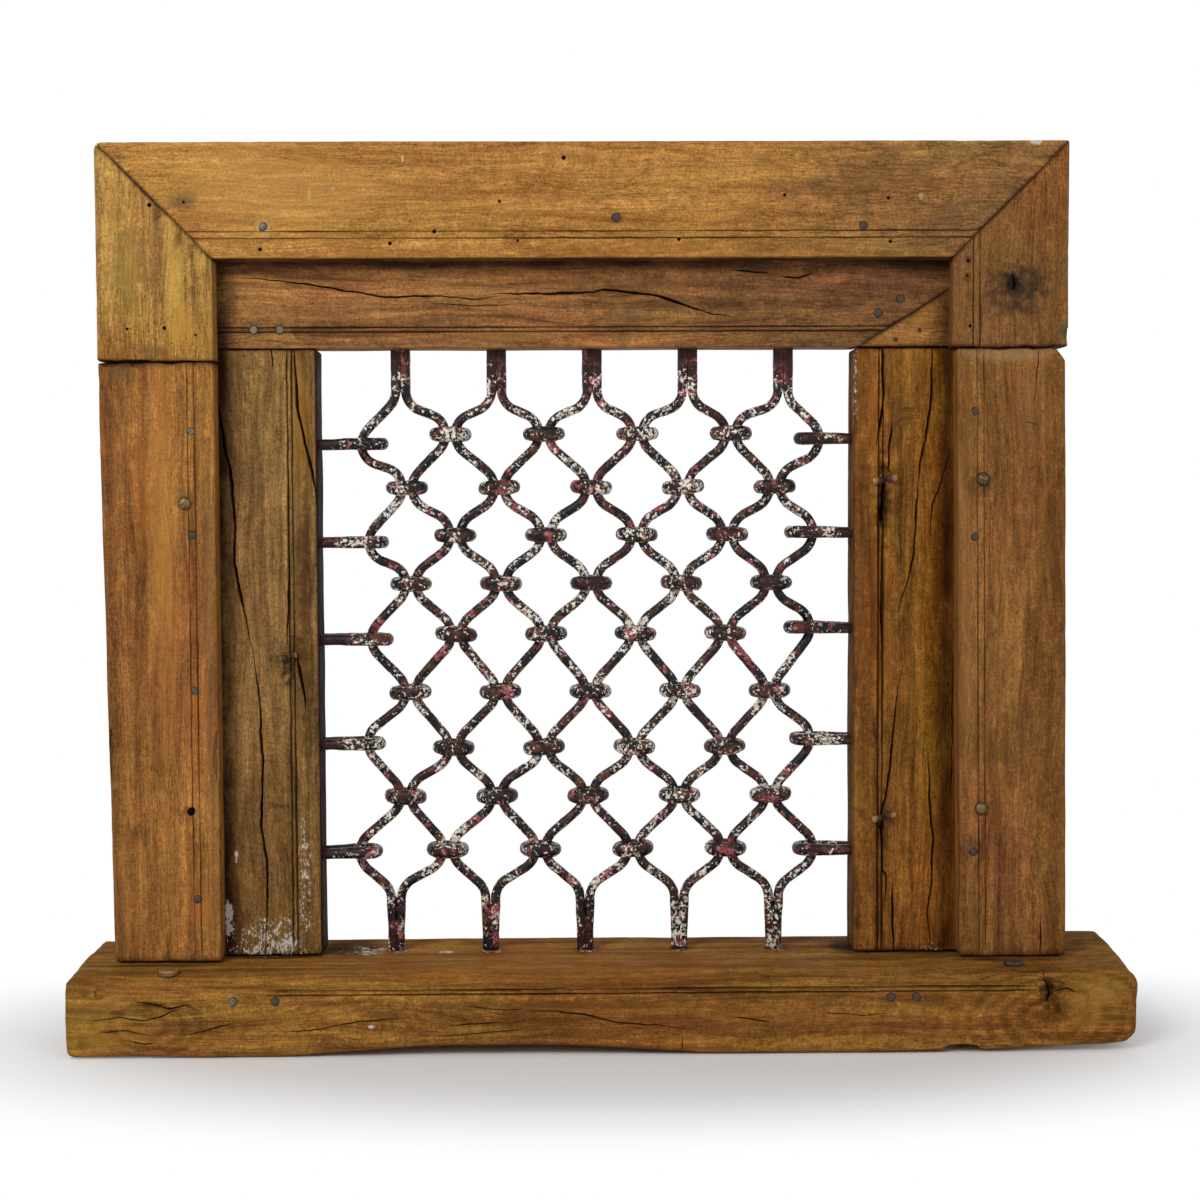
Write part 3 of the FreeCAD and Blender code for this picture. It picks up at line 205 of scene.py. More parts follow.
# Splits: points along each, then width and depth of its mouth
CRACKS = {
    "right_corner_block": (
        (((349.5, 656), (351.8, 647), (351, 640)), 2.2, 6),
    ),
    "right_post": (
        (((378, 100), (378.4, 80), (378.6, 66)), 1.2, 4),
        (((373, 602), (372.5, 575), (369, 540)), 0.9, 3),
        (((362, 531), (374, 527)), 0.9, 2),
    ),
    "inner_header": (
        (((-322, 657), (-278.9, 653.2), (-243.6, 648.8), (-213.5, 643.6), (-184.2, 639.2), (-138.4, 640),
          (-109.9, 636.5), (-81.4, 640.7)), 1.6, 6),
        (((-96, 641.5), (-6.1, 642.2), (2.5, 644.8), (20.7, 643), (49.3, 639.5), (66.6, 633.4), (95.2, 623.8),
          (117.7, 621.2)), 2.4, 8),
        (((-150, 634), (-105, 631), (-70, 633)), 1.0, 3),
        (((113.4, 660.8), (146.3, 659)), 1.4, 4),
        (((153.3, 656.4), (170.6, 654.6), (186.2, 659.7)), 1.6, 5),
    ),
    "left_inner_stile": (
        (((-336, 585), (-328.7, 540.7), (-323.9, 511.3), (-319, 489.7), (-316.1, 445.5), (-316.6, 409.8),
          (-311.8, 380.2), (-306.9, 358.4), (-302.1, 328.7)), 2.8, 10),
        (((-303, 345), (-300.4, 321.7), (-296.5, 285.8), (-294.5, 237.5), (-297, 182.9), (-292.1, 150.2),
          (-292.5, 119.3), (-294.9, 60)), 2.2, 8),
        (((-263.8, 602), (-261.2, 548.2), (-255.5, 516.3), (-248.9, 491.1), (-244, 455)), 2.6, 8),
        (((-283.1, 600), (-281.5, 577.6)), 1.2, 4),
        (((-269, 420), (-270.5, 385), (-272, 340)), 1.8, 6),
        (((-264.5, 336), (-263, 325), (-258.1, 296.9), (-256.5, 281.2)), 2.2, 7),
    ),
    "right_inner_stile": (
        (((242.6, 602), (243.9, 554.3), (242.2, 535.2), (237, 505)), 2.6, 7),
        (((251.6, 530), (247.6, 485.7)), 2.6, 7),
        (((244.6, 486), (241.6, 440)), 4.2, 9),
        (((285.4, 604), (285.7, 554.2), (283.2, 535.1), (279.8, 514.3), (276.4, 496.1),
          (273, 469.1)), 2.6, 8),
        (((274.5, 485), (272.2, 439.5), (270.6, 415.9), (266.3, 395), (260.2, 376.6), (255.8, 364)), 1.9, 6),
        (((303, 510), (294.8, 478.6), (287, 460.3), (285.3, 442.9), (286.3, 424.6)), 1.4, 5),
        (((261.3, 318.8), (257, 296.8), (253.6, 264.3), (249.4, 217.5), (243.3, 191), (244.4, 140.5),
          (247.9, 136), (246.3, 100)), 2.4, 7),
        (((243.5, 440), (242, 380), (243, 330)), 1.6, 5),
        (((253, 132), (254.3, 60)), 2.4, 7),
        (((305.2, 330), (304.8, 237.5), (303.2, 190)), 1.3, 5),
        (((283.6, 250), (286.5, 187.2), (288.4, 166.8), (287.7, 126), (283.4, 101.1), (289, 60)), 2.0, 7),
    ),
    "sill": (
        (((-272.4, 22), (-248.9, 23.5), (-217, 28.4), (-201.9, 31.7), (-156.5, 33.9)), 1.6, 5),
        (((-73.4, 39.2), (-38.9, 38.1), (-21.3, 36.3), (12.3, 28.3), (42.6, 26.4), (77.1, 21)), 1.6, 5),
        (((107.5, 32.7), (139.5, 27.4)), 1.6, 4),
        (((-133.1, 26.9), (-81.8, 29.9)), 1.4, 4),
        (((-432, 32), (-405, 36), (-385, 33), (-370, 36), (-350, 45)), 1.5, 4),
        (((-394, 50), (-378, 47), (-363, 43), (-350, 46), (-335, 40)), 2.0, 5),
        (((-398, 16), (-385, 13), (-372, 15)), 1.4, 4),
        (((-425, 22), (-400, 25), (-376, 20)), 1.2, 3),
        (((-352, 20), (-330, 25), (-308, 31)), 1.2, 4),
        (((-150, 17), (-100, 21), (-60, 23)), 1.0, 3),
        (((-120, 44), (-85, 40), (-60, 41)), 1.0, 3),
        (((180, 36), (215, 33), (240, 35)), 1.0, 3),
        (((65.3, 17.7), (64.5, 4)), 1.0, 3),
        (((371.5, 69), (369.5, 60), (372, 52), (370, 40)), 1.6, 3),
        (((376, 50), (388, 53), (398, 49)), 1.6, 4),
    ),
}
# Old nail holes: place and radius
HOLES = {
    "header": (
        (-31, 753.5, 1.9), (-85.5, 717.3, 1.4), (156.2, 722, 1.5), (244.2, 719.2, 1.5), (-352.1, 717, 1.3),
        (-288, 677.2, 1.7), (-178.4, 682, 1.8), (-70.2, 684.3, 1.3), (66.4, 685, 1.6), (246, 682.7, 1.6),
        (-140.8, 692, 1.8),
    ),
    "left_corner_block": (
        (-381, 714.6, 2.0), (-401.3, 610.7, 1.4), (-369.8, 611.4, 1.7), (-343.6, 605.4, 1.3),
    ),
    "right_corner_block": ((312.2, 666.4, 1.6), (311.4, 653.7, 1.3), (314.2, 611.1, 1.6)),
    "left_post": ((-353, 199, 3.8),),
    "right_inner_stile": ((242, 456, 2.2), (243, 178, 2.2)),
}
# Chips and dents: place, half width, depth and half height
CHIPS = {
    "header": (
        (-244.9, 669.5, 9, 3, 2.4), (-43, 669.5, 13, 3, 2), (190, 669.5, 8, 2.4, 1.6),
        (-300, 768, 12, 4, 1.6), (60, 768.4, 20, 4, 1.4), (310, 768.4, 14, 4, 1.6),
    ),
    "left_corner_block": (
        (-330, 700, 3, 4, 9), (-428, 640, 2, 4, 14), (-395, 582.6, 16, 9, 2.4), (-352, 582.6, 12, 9, 1.8),
        (-422, 582.6, 10, 9, 2.8),
    ),
    "right_corner_block": ((401, 603, 7, 6, 10), (362, 592.6, 9, 5, 2.6), (392, 592.6, 14, 7, 3)),
    "left_post": (
        (-394, 585, 8, 9, 6.5), (-366, 585.5, 16, 8, 4.6), (-416, 586, 13, 9, 7), (-341, 585, 9, 6, 3.6),
        (-329, 470, 2.2, 3, 16), (-329, 246, 4, 5, 24), (-421, 250, 2, 4, 20),
    ),
    "right_post": (
        (340, 595, 22, 7, 4), (372, 595, 12, 7, 4.6), (314, 595, 10, 6, 3.6), (304, 430, 2, 3, 18),
        (400, 300, 2, 4, 24),
    ),
    "left_inner_stile": (
        (-247, 560, 3, 3, 14), (-247, 400, 2.5, 3, 12), (-247, 220, 2.5, 3, 16), (-271, 318, 5, 5, 7),
        (-273, 313, 5, 4, 4.5),
    ),
    "right_inner_stile": (
        (266, 541, 9, 3, 2.2), (262, 530, 6, 2.6, 5), (272, 533, 5, 2.4, 4), (222, 540, 3, 3, 14),
        (222, 300, 2.5, 3, 18),
    ),
    "sill": (
        (390, 45, 15, 9, 17), (404, 62, 12, 7, 10), (-300, 1, 10, 4, 3), (-420, 57, 6, 4, 5),
        (-384, 39, 9, 3, 5), (120, 2, 20, 3, 3), (215, 2, 16, 3, 3), (-100, 68, 26, 2.4, 2.4),
        (330, 66, 12, 3, 3),
    ),
}
# Stains and flecks, and a few painted shadows and highlights noted below: place, half width and height,
# colour, strength, softness of the edge
SPOTS = {
    "header": (
        (-352, 718, 13, 9, "#4A3B26", 0.8, 0.8), (-246, 721, 1.6, 7, "#B0A45E", 0.7, 0.6),
        (-226, 728, 2.2, 2.0, "#9C9788", 0.6, 0.6), (-167, 753, 1.0, 2.6, "#D2C6A8", 0.7, 0.6),
        (272, 721, 2.2, 3, "#C6B288", 0.6, 0.6), (369, 767, 6, 3, "#C9C3B5", 0.9, 0.5),
        (-285.5, 696, 7, 7, "#C2A679", 0.5, 0.6), (13.5, 703, 7, 7, "#6F4D2A", 0.6, 0.7),
        (-20, 752, 26, 5, "#8A6230", 0.5, 0.9), (230, 735, 60, 16, "#6B4E2C", 0.45, 0.9),
        (-280, 730, 110, 40, "#D09A52", 0.35, 0.9), (0, 675, 320, 8, "#8E5A2A", 0.4, 0.9),
    ),
    "left_corner_block": (
        (-360, 645, 7, 60, "#C9A045", 0.5, 0.9), (-400, 660, 16, 36, "#8A7136", 0.5, 0.9),
        (-374, 704, 4, 7, "#3B2A14", 0.7, 0.9), (-357, 688, 4, 9, "#4A3518", 0.7, 0.9),
        (-346, 672, 3, 12, "#5A4220", 0.7, 0.9), (-345, 640, 2, 34, "#5A4220", 0.6, 0.9),
        (-352, 610, 10, 25, "#C08A3C", 0.5, 0.9), (-385, 592, 34, 7, "#6E5026", 0.5, 0.9),
    ),
    "right_corner_block": (
        (355, 642, 26, 23, "#33271D", 0.95, 0.9), (350, 648, 7, 10, "#140D09", 0.9, 0.8),
        (395.5, 608, 6, 9, "#55502F", 0.8, 0.6), (380, 596, 9, 8, "#5A3A1A", 0.5, 0.8),
        (312, 667, 4.5, 4.5, "#4A2E17", 0.7, 0.8), (312, 653, 4, 4, "#553519", 0.6, 0.8),
    ),
    "left_post": (
        (-349, 296, 12, 16, "#B06A2C", 0.6, 0.9), (-346, 113, 11, 15, "#B06A2C", 0.6, 0.9),
        (-335, 330, 5, 260, "#7C5C36", 0.5, 0.9), (-374, 420, 12, 160, "#C28540", 0.5, 0.9),
        (-356, 199, 8, 8, "#5A3A1C", 0.5, 0.8), (-405, 575, 16, 6, "#5E4A2E", 0.6, 0.8),
        (-355, 470, 9, 9, "#7A5B30", 0.5, 0.9), (-390, 470, 10, 60, "#8C5424", 0.6, 0.9),
        (-415, 120, 10, 50, "#84582C", 0.5, 0.9),
    ),
    "right_post": (
        (346, 588, 42, 8, "#A0815A", 0.5, 0.5), (330, 478, 10, 10, "#57402A", 0.5, 0.9),
        # The pale strip down the inner edge at 312 across is a painted highlight where that edge faces the
        # key lamp
        (312, 400, 8, 190, "#9A6C3E", 0.4, 0.9), (322, 475, 12, 12, "#3E2A18", 0.5, 0.9),
        (322, 166, 12, 12, "#3E2A18", 0.5, 0.9),
        (395, 330, 6, 25, "#4F3A22", 0.4, 0.9), (370, 545, 18, 40, "#94693A", 0.4, 0.9),
        (345, 250, 20, 50, "#6A4420", 0.4, 0.9),
    ),
    "inner_header": (
        (26, 623, 20, 7, "#6B5034", 0.7, 0.9), (22, 600, 7, 6, "#6B583A", 0.6, 0.9),
        (-250, 612, 40, 5, "#46301A", 0.6, 0.9), (-150, 618, 30, 5, "#5A4424", 0.5, 0.9),
        (-318, 640, 14, 20, "#4A3116", 0.5, 0.9), (60, 650, 60, 8, "#54341A", 0.4, 0.9),
        (-80, 605, 40, 5, "#9A6C3A", 0.4, 0.9),
    ),
    "inner_corner_wedge": ((282, 612, 26, 3, "#8A5A30", 0.5, 0.9),),
    "left_inner_stile": (
        (-271, 318, 6, 11, "#2E211C", 0.9, 0.6), (-271, 332, 16, 22, "#3A2814", 0.5, 0.9),
        (-258, 530, 7, 70, "#A0701F", 0.6, 0.9), (-280, 200, 12, 3, "#3A2814", 0.6, 0.9),
        (-258, 400, 6, 80, "#4A2E1A", 0.6, 0.9), (-256, 330, 5, 200, "#4F341C", 0.5, 0.9),
        # The dark band along the left edge is painted shadow of the left post
        (-334, 330, 9, 300, "#2A120F", 0.7, 0.9),
    ),
    "right_inner_stile": (
        (244, 465, 7, 38, "#1C0D08", 0.9, 0.9), (244, 180, 7, 30, "#2A170C", 0.6, 0.9),
        (234, 545, 4, 24, "#9A5420", 0.6, 0.9), (262, 540, 12, 14, "#6A4626", 0.6, 0.9),
        (236, 390, 6, 70, "#6E3C1A", 0.5, 0.9), (226, 330, 8, 260, "#54341C", 0.5, 0.9),
    ),
    "sill": (
        (-158, 61, 2.8, 2.8, "#C2BFB2", 0.9, 0.4), (-195, 26.5, 3.2, 1.8, "#D0CBBE", 0.9, 0.4),
        (316.6, 60, 3.4, 3.4, "#A8854C", 0.8, 0.5), (400, 46, 10, 14, "#9A7038", 0.6, 0.9),
        (-433, 56, 5, 4, "#3B301C", 0.7, 0.8), (-436, 12, 6, 6, "#44301A", 0.6, 0.8),
        (-384, 39, 16, 7, "#4A3618", 0.45, 0.9), (-60, 45, 120, 4, "#6A4420", 0.5, 0.9),
        (60, 34, 280, 30, "#6A3C1A", 0.45, 0.9), (0, 6, 200, 5, "#7A4A1C", 0.5, 0.9),
        # These two dark spots are painted shade in and below the torn hollow at the right end
        (373, 55, 8, 16, "#22150B", 0.95, 0.8), (382, 38, 10, 5, "#33220F", 0.8, 0.8),
        (412, 42, 24, 28, "#9A7030", 0.5, 0.9),
        (384, 58, 5, 7, "#4A3726", 0.7, 0.8), (378, 62, 3, 2.4, "#8A7A34", 0.7, 0.6),
        (396, 48, 3.5, 2.6, "#B9A27C", 0.8, 0.5), (408, 66, 3.5, 3, "#A98C60", 0.7, 0.5),
        (374, 67, 30, 3, "#3A2812", 0.7, 0.8), (-420, 30, 60, 36, "#A07A34", 0.4, 0.9),
        (-378, 47, 17, 3, "#3E2A12", 0.7, 0.6), (-404, 40, 9, 2.4, "#4A3418", 0.6, 0.6),
        (-388, 30, 12, 2, "#4A3418", 0.6, 0.6), (-412, 24, 10, 2, "#54391A", 0.6, 0.6),
        (-390, 35, 10, 2, "#B89450", 0.5, 0.6), (-366, 50, 12, 2, "#B08A48", 0.5, 0.6),
        (-60, 66, 200, 6, "#9A6026", 0.4, 0.9), (418, 52, 22, 10, "#A98440", 0.45, 0.8),
        (400, 12, 40, 5, "#5C3C16", 0.5, 0.8), (352, 26, 20, 12, "#6B421C", 0.4, 0.9),
        (428, 30, 12, 3, "#54381A", 0.5, 0.7), (424, 37, 12, 2, "#54381A", 0.45, 0.7),
    ),
}
# Curls of the grain round knots: place and radius
KNOTS = {"sill": ((392, 42, 75), (-372, 38, 50)), "right_inner_stile": ((264, 528, 34),)}
# Feet of the pairs of bars, across in millimetres
FEET = (-182, -98, -14, 70, 154)
# Flakes of lime wash: place across, in from the front face and up, half sizes, strength
LIME = {
    "left_inner_stile": (
        ((-326, 0, 100), (6, 5, 30), 1.3), ((-290, 0, 74), (58, 6, 52), 0.8),
        ((-259, 0, 130), (11, 6, 120), 0.72), ((-319, 0, 156), (3.6, 5, 10), 1.1),
    ),
    "right_inner_stile": (((221, 4, 560), (5, 12, 70), 0.55), ((288, 0, 72), (20, 6, 8), 0.7)),
    "sill": (
        *(((x, 103, 68), (17, 16, 5), 0.85) for x in FEET),
        ((-208, 104, 68), (40, 30, 5), 0.8), ((-290, 88, 68), (48, 8, 4), 0.8),
        ((-140, 98, 68), (20, 8, 5), 0.8),
    ),
}
# Patches of dirt and painted shade at the feet of the bars, the stiles and the posts, written as the
# flakes are
GRIME_AND_SHADE = {
    "sill": (
        *(((x, 104, 68), (17, 14, 6), 0.75) for x in FEET),
        ((-222, 116, 68), (40, 46, 8), 1.1), ((216, 112, 68), (22, 40, 8), 1.0),
        ((-378, 55, 68), (64, 12, 6), 0.6), ((350, 55, 68), (64, 12, 6), 0.8),
        ((-290, 82, 68), (50, 10, 6), 0.7), ((282, 82, 68), (36, 10, 6), 0.7),
    ),
}


# Mesh tools

def rough(point, size, seed):
    """Smooth noise from -1 to 1 with bumps of about the given size."""
    return noise.noise(point / size + Vector((seed * 7.3, seed * 3.1, seed * 5.7)))


def smooth_step(value, start, end):
    share = min(max((value - start) / (end - start), 0), 1)
    return share * share * (3 - 2 * share)


@functools.cache
def solids(node):
    """Lowest and highest corner of each separate solid of a node, from left to right and then upwards."""
    bm = bmesh.new()
    bm.from_mesh(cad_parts[node].data)
    bmesh.ops.remove_doubles(bm, verts=bm.verts, dist=WELD)
    boxes = []
    left = set(bm.verts)
    while left:
        reached = [left.pop()]
        for vert in reached:
            for edge in vert.link_edges:
                other = edge.other_vert(vert)
                if other in left:
                    left.remove(other)
                    reached.append(other)
        places = [vert.co for vert in reached]
        ways = list(zip(*places))
        boxes.append([Vector([pick(way) for way in ways]) for pick in (min, max)])
    bm.free()
    return sorted(boxes, key=lambda box: box[0].xz[:])


def middle(box):
    return (box[0] + box[1]) / 2


def made_mesh(bm, name):
    """Turns a bmesh into a mesh."""
    mesh = bpy.data.meshes.new(name)
    bm.to_mesh(mesh)
    bm.free()
    return mesh


def new_object(name, data):
    """Puts a mesh, a lamp or a camera into the scene."""
    item = bpy.data.objects.new(name, data)
    bpy.context.scene.collection.objects.link(item)
    return item


def new_piece(node, bm, material):
    """Makes the piece that stands for a node of the solids."""
    bmesh.ops.recalc_face_normals(bm, faces=bm.faces)
    piece = new_object("aged_" + node, made_mesh(bm, "aged_" + node))
    piece.data.materials.append(material)
    smooth_piece(piece)
    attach(piece, "root")
    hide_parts(node)
    return piece


def smooth_piece(piece):
    piece.data.validate()
    piece.data.shade_smooth()
    piece.data.set_sharp_from_angle(angle=math.radians(38))


def set_attribute(mesh, name, values):
    attribute = mesh.attributes.new(name, "FLOAT", "POINT")
    attribute.data.foreach_set("value", values)


def merge(bm, other):
    """Moves the mesh of one bmesh into another."""
    mesh = made_mesh(other, "part")
    bm.from_mesh(mesh)
    bpy.data.meshes.remove(mesh)


def sweep(path, up, ring, closed=False):
    """Bends a grid into a tube along a flat path.

    ring(step) lists the corners of the section as pairs: across the path, and along up."""
    sides = len(ring(0))
    steps = len(path) if closed else len(path) - 1
    bm = bmesh.new()
    bmesh.ops.create_grid(bm, x_segments=steps, y_segments=sides, size=1)
    rings = {}
    for vert in bm.verts:
        step = round((vert.co.x + 1) / 2 * steps) % len(path)
        side = round((vert.co.y + 1) / 2 * sides) % sides
        if step not in rings:
            before = path[step - 1] if step or closed else path[step]
            after = path[(step + 1) % len(path)] if step + 1 < len(path) or closed else path[step]
            across = up.cross(after - before).normalized()
            rings[step] = [path[step] + across * a + up * b for a, b in ring(step)]
        vert.co = rings[step][side]
    bmesh.ops.remove_doubles(bm, verts=bm.verts, dist=WELD)
    bmesh.ops.holes_fill(bm, edges=[edge for edge in bm.edges if edge.is_boundary], sides=0)
    bmesh.ops.recalc_face_normals(bm, faces=bm.faces)
    return bm


def prism(corners, away):
    """A straight piece with the given outline, drawn out by one vector."""
    bm = bmesh.new()
    face = bm.faces.new([bm.verts.new(corner) for corner in corners])
    grown = bmesh.ops.extrude_face_region(bm, geom=[face])
    top = [item for item in grown["geom"] if isinstance(item, bmesh.types.BMVert)]
    bmesh.ops.translate(bm, vec=away, verts=top)
    bmesh.ops.recalc_face_normals(bm, faces=bm.faces)
    return bm


def turned(profile, place, axis, sides=24):
    """Spins a profile of radius and height pairs round an axis at a place."""
    bm = bmesh.new()
    verts = [bm.verts.new((radius, 0, height)) for radius, height in profile]
    edges = [bm.edges.new(pair) for pair in zip(verts, verts[1:])]
    bmesh.ops.spin(bm, geom=verts + edges, cent=(0, 0, 0), axis=(0, 0, 1), angle=math.tau, steps=sides,
                   use_merge=True)
    bmesh.ops.remove_doubles(bm, verts=bm.verts, dist=WELD)
    bmesh.ops.recalc_face_normals(bm, faces=bm.faces)
    turn = Z.rotation_difference(axis).to_matrix().to_4x4()
    bmesh.ops.transform(bm, matrix=Matrix.Translation(place) @ turn, verts=bm.verts)
    return bm


def pit(place, radius, depth):
    """A cutter for a round hole in a front face, with a ragged rim."""
    bm = turned([(0, -depth), (radius * 0.8, -depth), (radius, -depth * 0.5), (radius, depth), (0, depth)],
                place, -Y, sides=14)
    for vert in bm.verts:
        vert.co += (vert.co - place) * rough(vert.co, radius, 4) * 0.22
    return bm


def gouge(place, size, seed):
    """A cutter for a chip or a torn hollow."""
    bm = bmesh.new()
    bmesh.ops.create_icosphere(bm, subdivisions=4, radius=1)
    for vert in bm.verts:
        swell = 1 + 0.28 * rough(vert.co, 0.9, seed) + 0.14 * rough(vert.co, 0.35, seed + 1)
        vert.co = place + vert.co * size * swell
    return bm


def line(start, end, step):
    """Points of a straight run, without its first point."""
    count = max(round((end - start).length / step), 1)
    return [start.lerp(end, (part + 1) / count) for part in range(count)]


def arc(centre, start, end, radius, first, second, steps):
    """Points of an arc in the plane of two directions, without its first point."""
    angles = [start + (end - start) * (step + 1) / steps for step in range(steps)]
    return [centre + first * radius * math.cos(angle) + second * radius * math.sin(angle) for angle in angles]


def furrow(points, surface, plane, width, depth, seed, scribed=False):
    """A cutter for a crack or a scribed line in a front face, which it follows, and its plane beside it."""
    above = 1.5 * MM
    corners = [Vector((x * MM, plane, z * MM)) for x, z in points]
    path = corners[:1]
    for start, end in zip(corners, corners[1:]):
        path += line(start, end, 3 * MM)
    side = Y.cross(path[-1] - path[0]).normalized()
    wander = 0.35 * MM if scribed else 0.9 * MM
    for place in path:
        place += side * wander * (rough(place, 17 * MM, seed) + 0.5 * rough(place, 5 * MM, seed + 2))
        hit = surface.ray_cast(place - Y * 50 * MM, Y, 90 * MM)[0]
        if hit:
            place.y = hit.y
    last = len(path) - 1
    taper = max(last * (0.03 if scribed else 0.25), 1)

    def ring(number):
        place = path[number]
        swell = min(min(number, last - number) / taper, 1)
        if scribed:
            swell *= 1 + 0.5 * rough(place, 70 * MM, seed + 5)
        else:
            uneven = 0.4 * rough(place, 24 * MM, seed + 5) + 0.35 * rough(place, 8 * MM, seed + 6)
            swell = swell ** 0.8 * (1 + uneven)
        swell = max(swell, 0.08)
        mouth = width / 2 * (swell + above / depth)
        return [(-mouth, -above), (mouth, -above), (0, depth * swell)]

    return sweep(path, Y, ring)


def saw(bm, point, normal, ease):
    """Cuts along a plane and eases the new arris."""
    normal = normal.normalized()
    for place, clear in ((point - normal * ease, False), (point, True)):
        bmesh.ops.bisect_plane(bm, geom=bm.verts[:] + bm.edges[:] + bm.faces[:], dist=WELD,
                               plane_co=place, plane_no=normal, clear_outer=clear)
    bm.normal_update()
    rim = [edge for edge in bm.edges if edge.is_boundary]
    for vert in {vert for edge in rim for vert in edge.verts}:
        inward = vert.normal - normal * vert.normal.dot(normal)
        vert.co -= inward * ease * 0.6
    bmesh.ops.holes_fill(bm, edges=rim, sides=0)


def carve(piece, cutter):
    """Takes a cutter out of a piece."""
    mesh = made_mesh(cutter, "cutter")
    tool = new_object("cutter", mesh)
    cut = piece.modifiers.new("carve", "BOOLEAN")
    cut.operation = "DIFFERENCE"
    cut.solver = "MANIFOLD"
    cut.object = tool
    result = bpy.data.meshes.new_from_object(piece.evaluated_get(bpy.context.evaluated_depsgraph_get()))
    piece.modifiers.clear()
    whole = piece.data
    if len(result.vertices) < len(whole.vertices) / 2:
        raise RuntimeError(f"{piece.name}: a cut left too little of the piece")
    name = whole.name
    piece.data = result
    bpy.data.objects.remove(tool)
    bpy.data.meshes.remove(mesh)
    bpy.data.meshes.remove(whole)
    result.name = name


# Materials

def wire(tree, kind, inputs=(), out=0, **settings):
    """Adds a shader node with its settings, links or sets its inputs, and gives one of its outputs."""
    node = tree.nodes.new("ShaderNode" + kind)
    for name, setting in settings.items():
        setattr(node, name, setting)
    for name, source in inputs.items() if isinstance(inputs, dict) else enumerate(inputs):
        if isinstance(source, bpy.types.NodeSocket):
            tree.links.new(source, node.inputs[name])
        else:
            node.inputs[name].default_value = source
    return node.outputs[out] if node.outputs else None


def new_material(name):
    """An empty material, and the function that adds nodes to it."""
    material = bpy.data.materials.new(name)
    material.use_nodes = True
    material.node_tree.nodes.clear()
    return material, functools.partial(wire, material.node_tree)


def tint(colour):
    return (*colour, 1)


# Streaks of the grain: length and width in millimetres, detail of the noise. Pores are drawn wider than the
# real ones, which are too fine to show.
GRAIN = {
    "figure": (230, 9, 5),
    "blotch": (80, 34, 4),
    "streak": (22, 1.1, 3),
    "pore": (11, 0.9, 2),
    "patch": (60, 35, 3),
    "flake": (3.4, 1.6, 4),
    "dirt": (9, 9, 5),
    "speck": (1.9, 1.7, 2),
    "stain": (150, 48, 3),
    "ring": (300, 16, 0),
}
# What the grain does: the noise, the range of it that counts, and what that range turns into
GRAIN_TONES = {
    "shade": ("figure", 0.32, 0.7, 0, 1),
    "blotch": ("blotch", 0.3, 0.7, -0.22, 0.22),
    "hue": ("stain", 0.32, 0.68, 0.492, 0.509),
    "streak": ("streak", 0.3, 0.7, 0.76, 1.22),
    "mottle": ("dirt", 0.3, 0.7, 0.78, 1.2),
    "speck": ("speck", 0.3, 0.7, 0.62, 1.38),
    "pore_bound": ("patch", 0.35, 0.65, 0.7, 0.55),
    "ragged": ("dirt", 0.3, 0.7, -0.5, 0.5),
    "flaking": ("dirt", 0.35, 0.65, 0.5, 1.3),
    "sheen": ("patch", 0.3, 0.7, 0.58, 0.78),
}
# Marks on each point: wear, dirt, paint and lime, and painted shade in hollows, recesses and to one side
WEAR_AND_SHADE = ("hollow", "arris", "grime", "cast", "reveal", "limewash")
# Waves of the grain: their length and width in millimetres, and how far they sway
WAVES = (170, 60)
WAVE_SWAY = 22 * MM
RINGS_PER_NOISE = 70


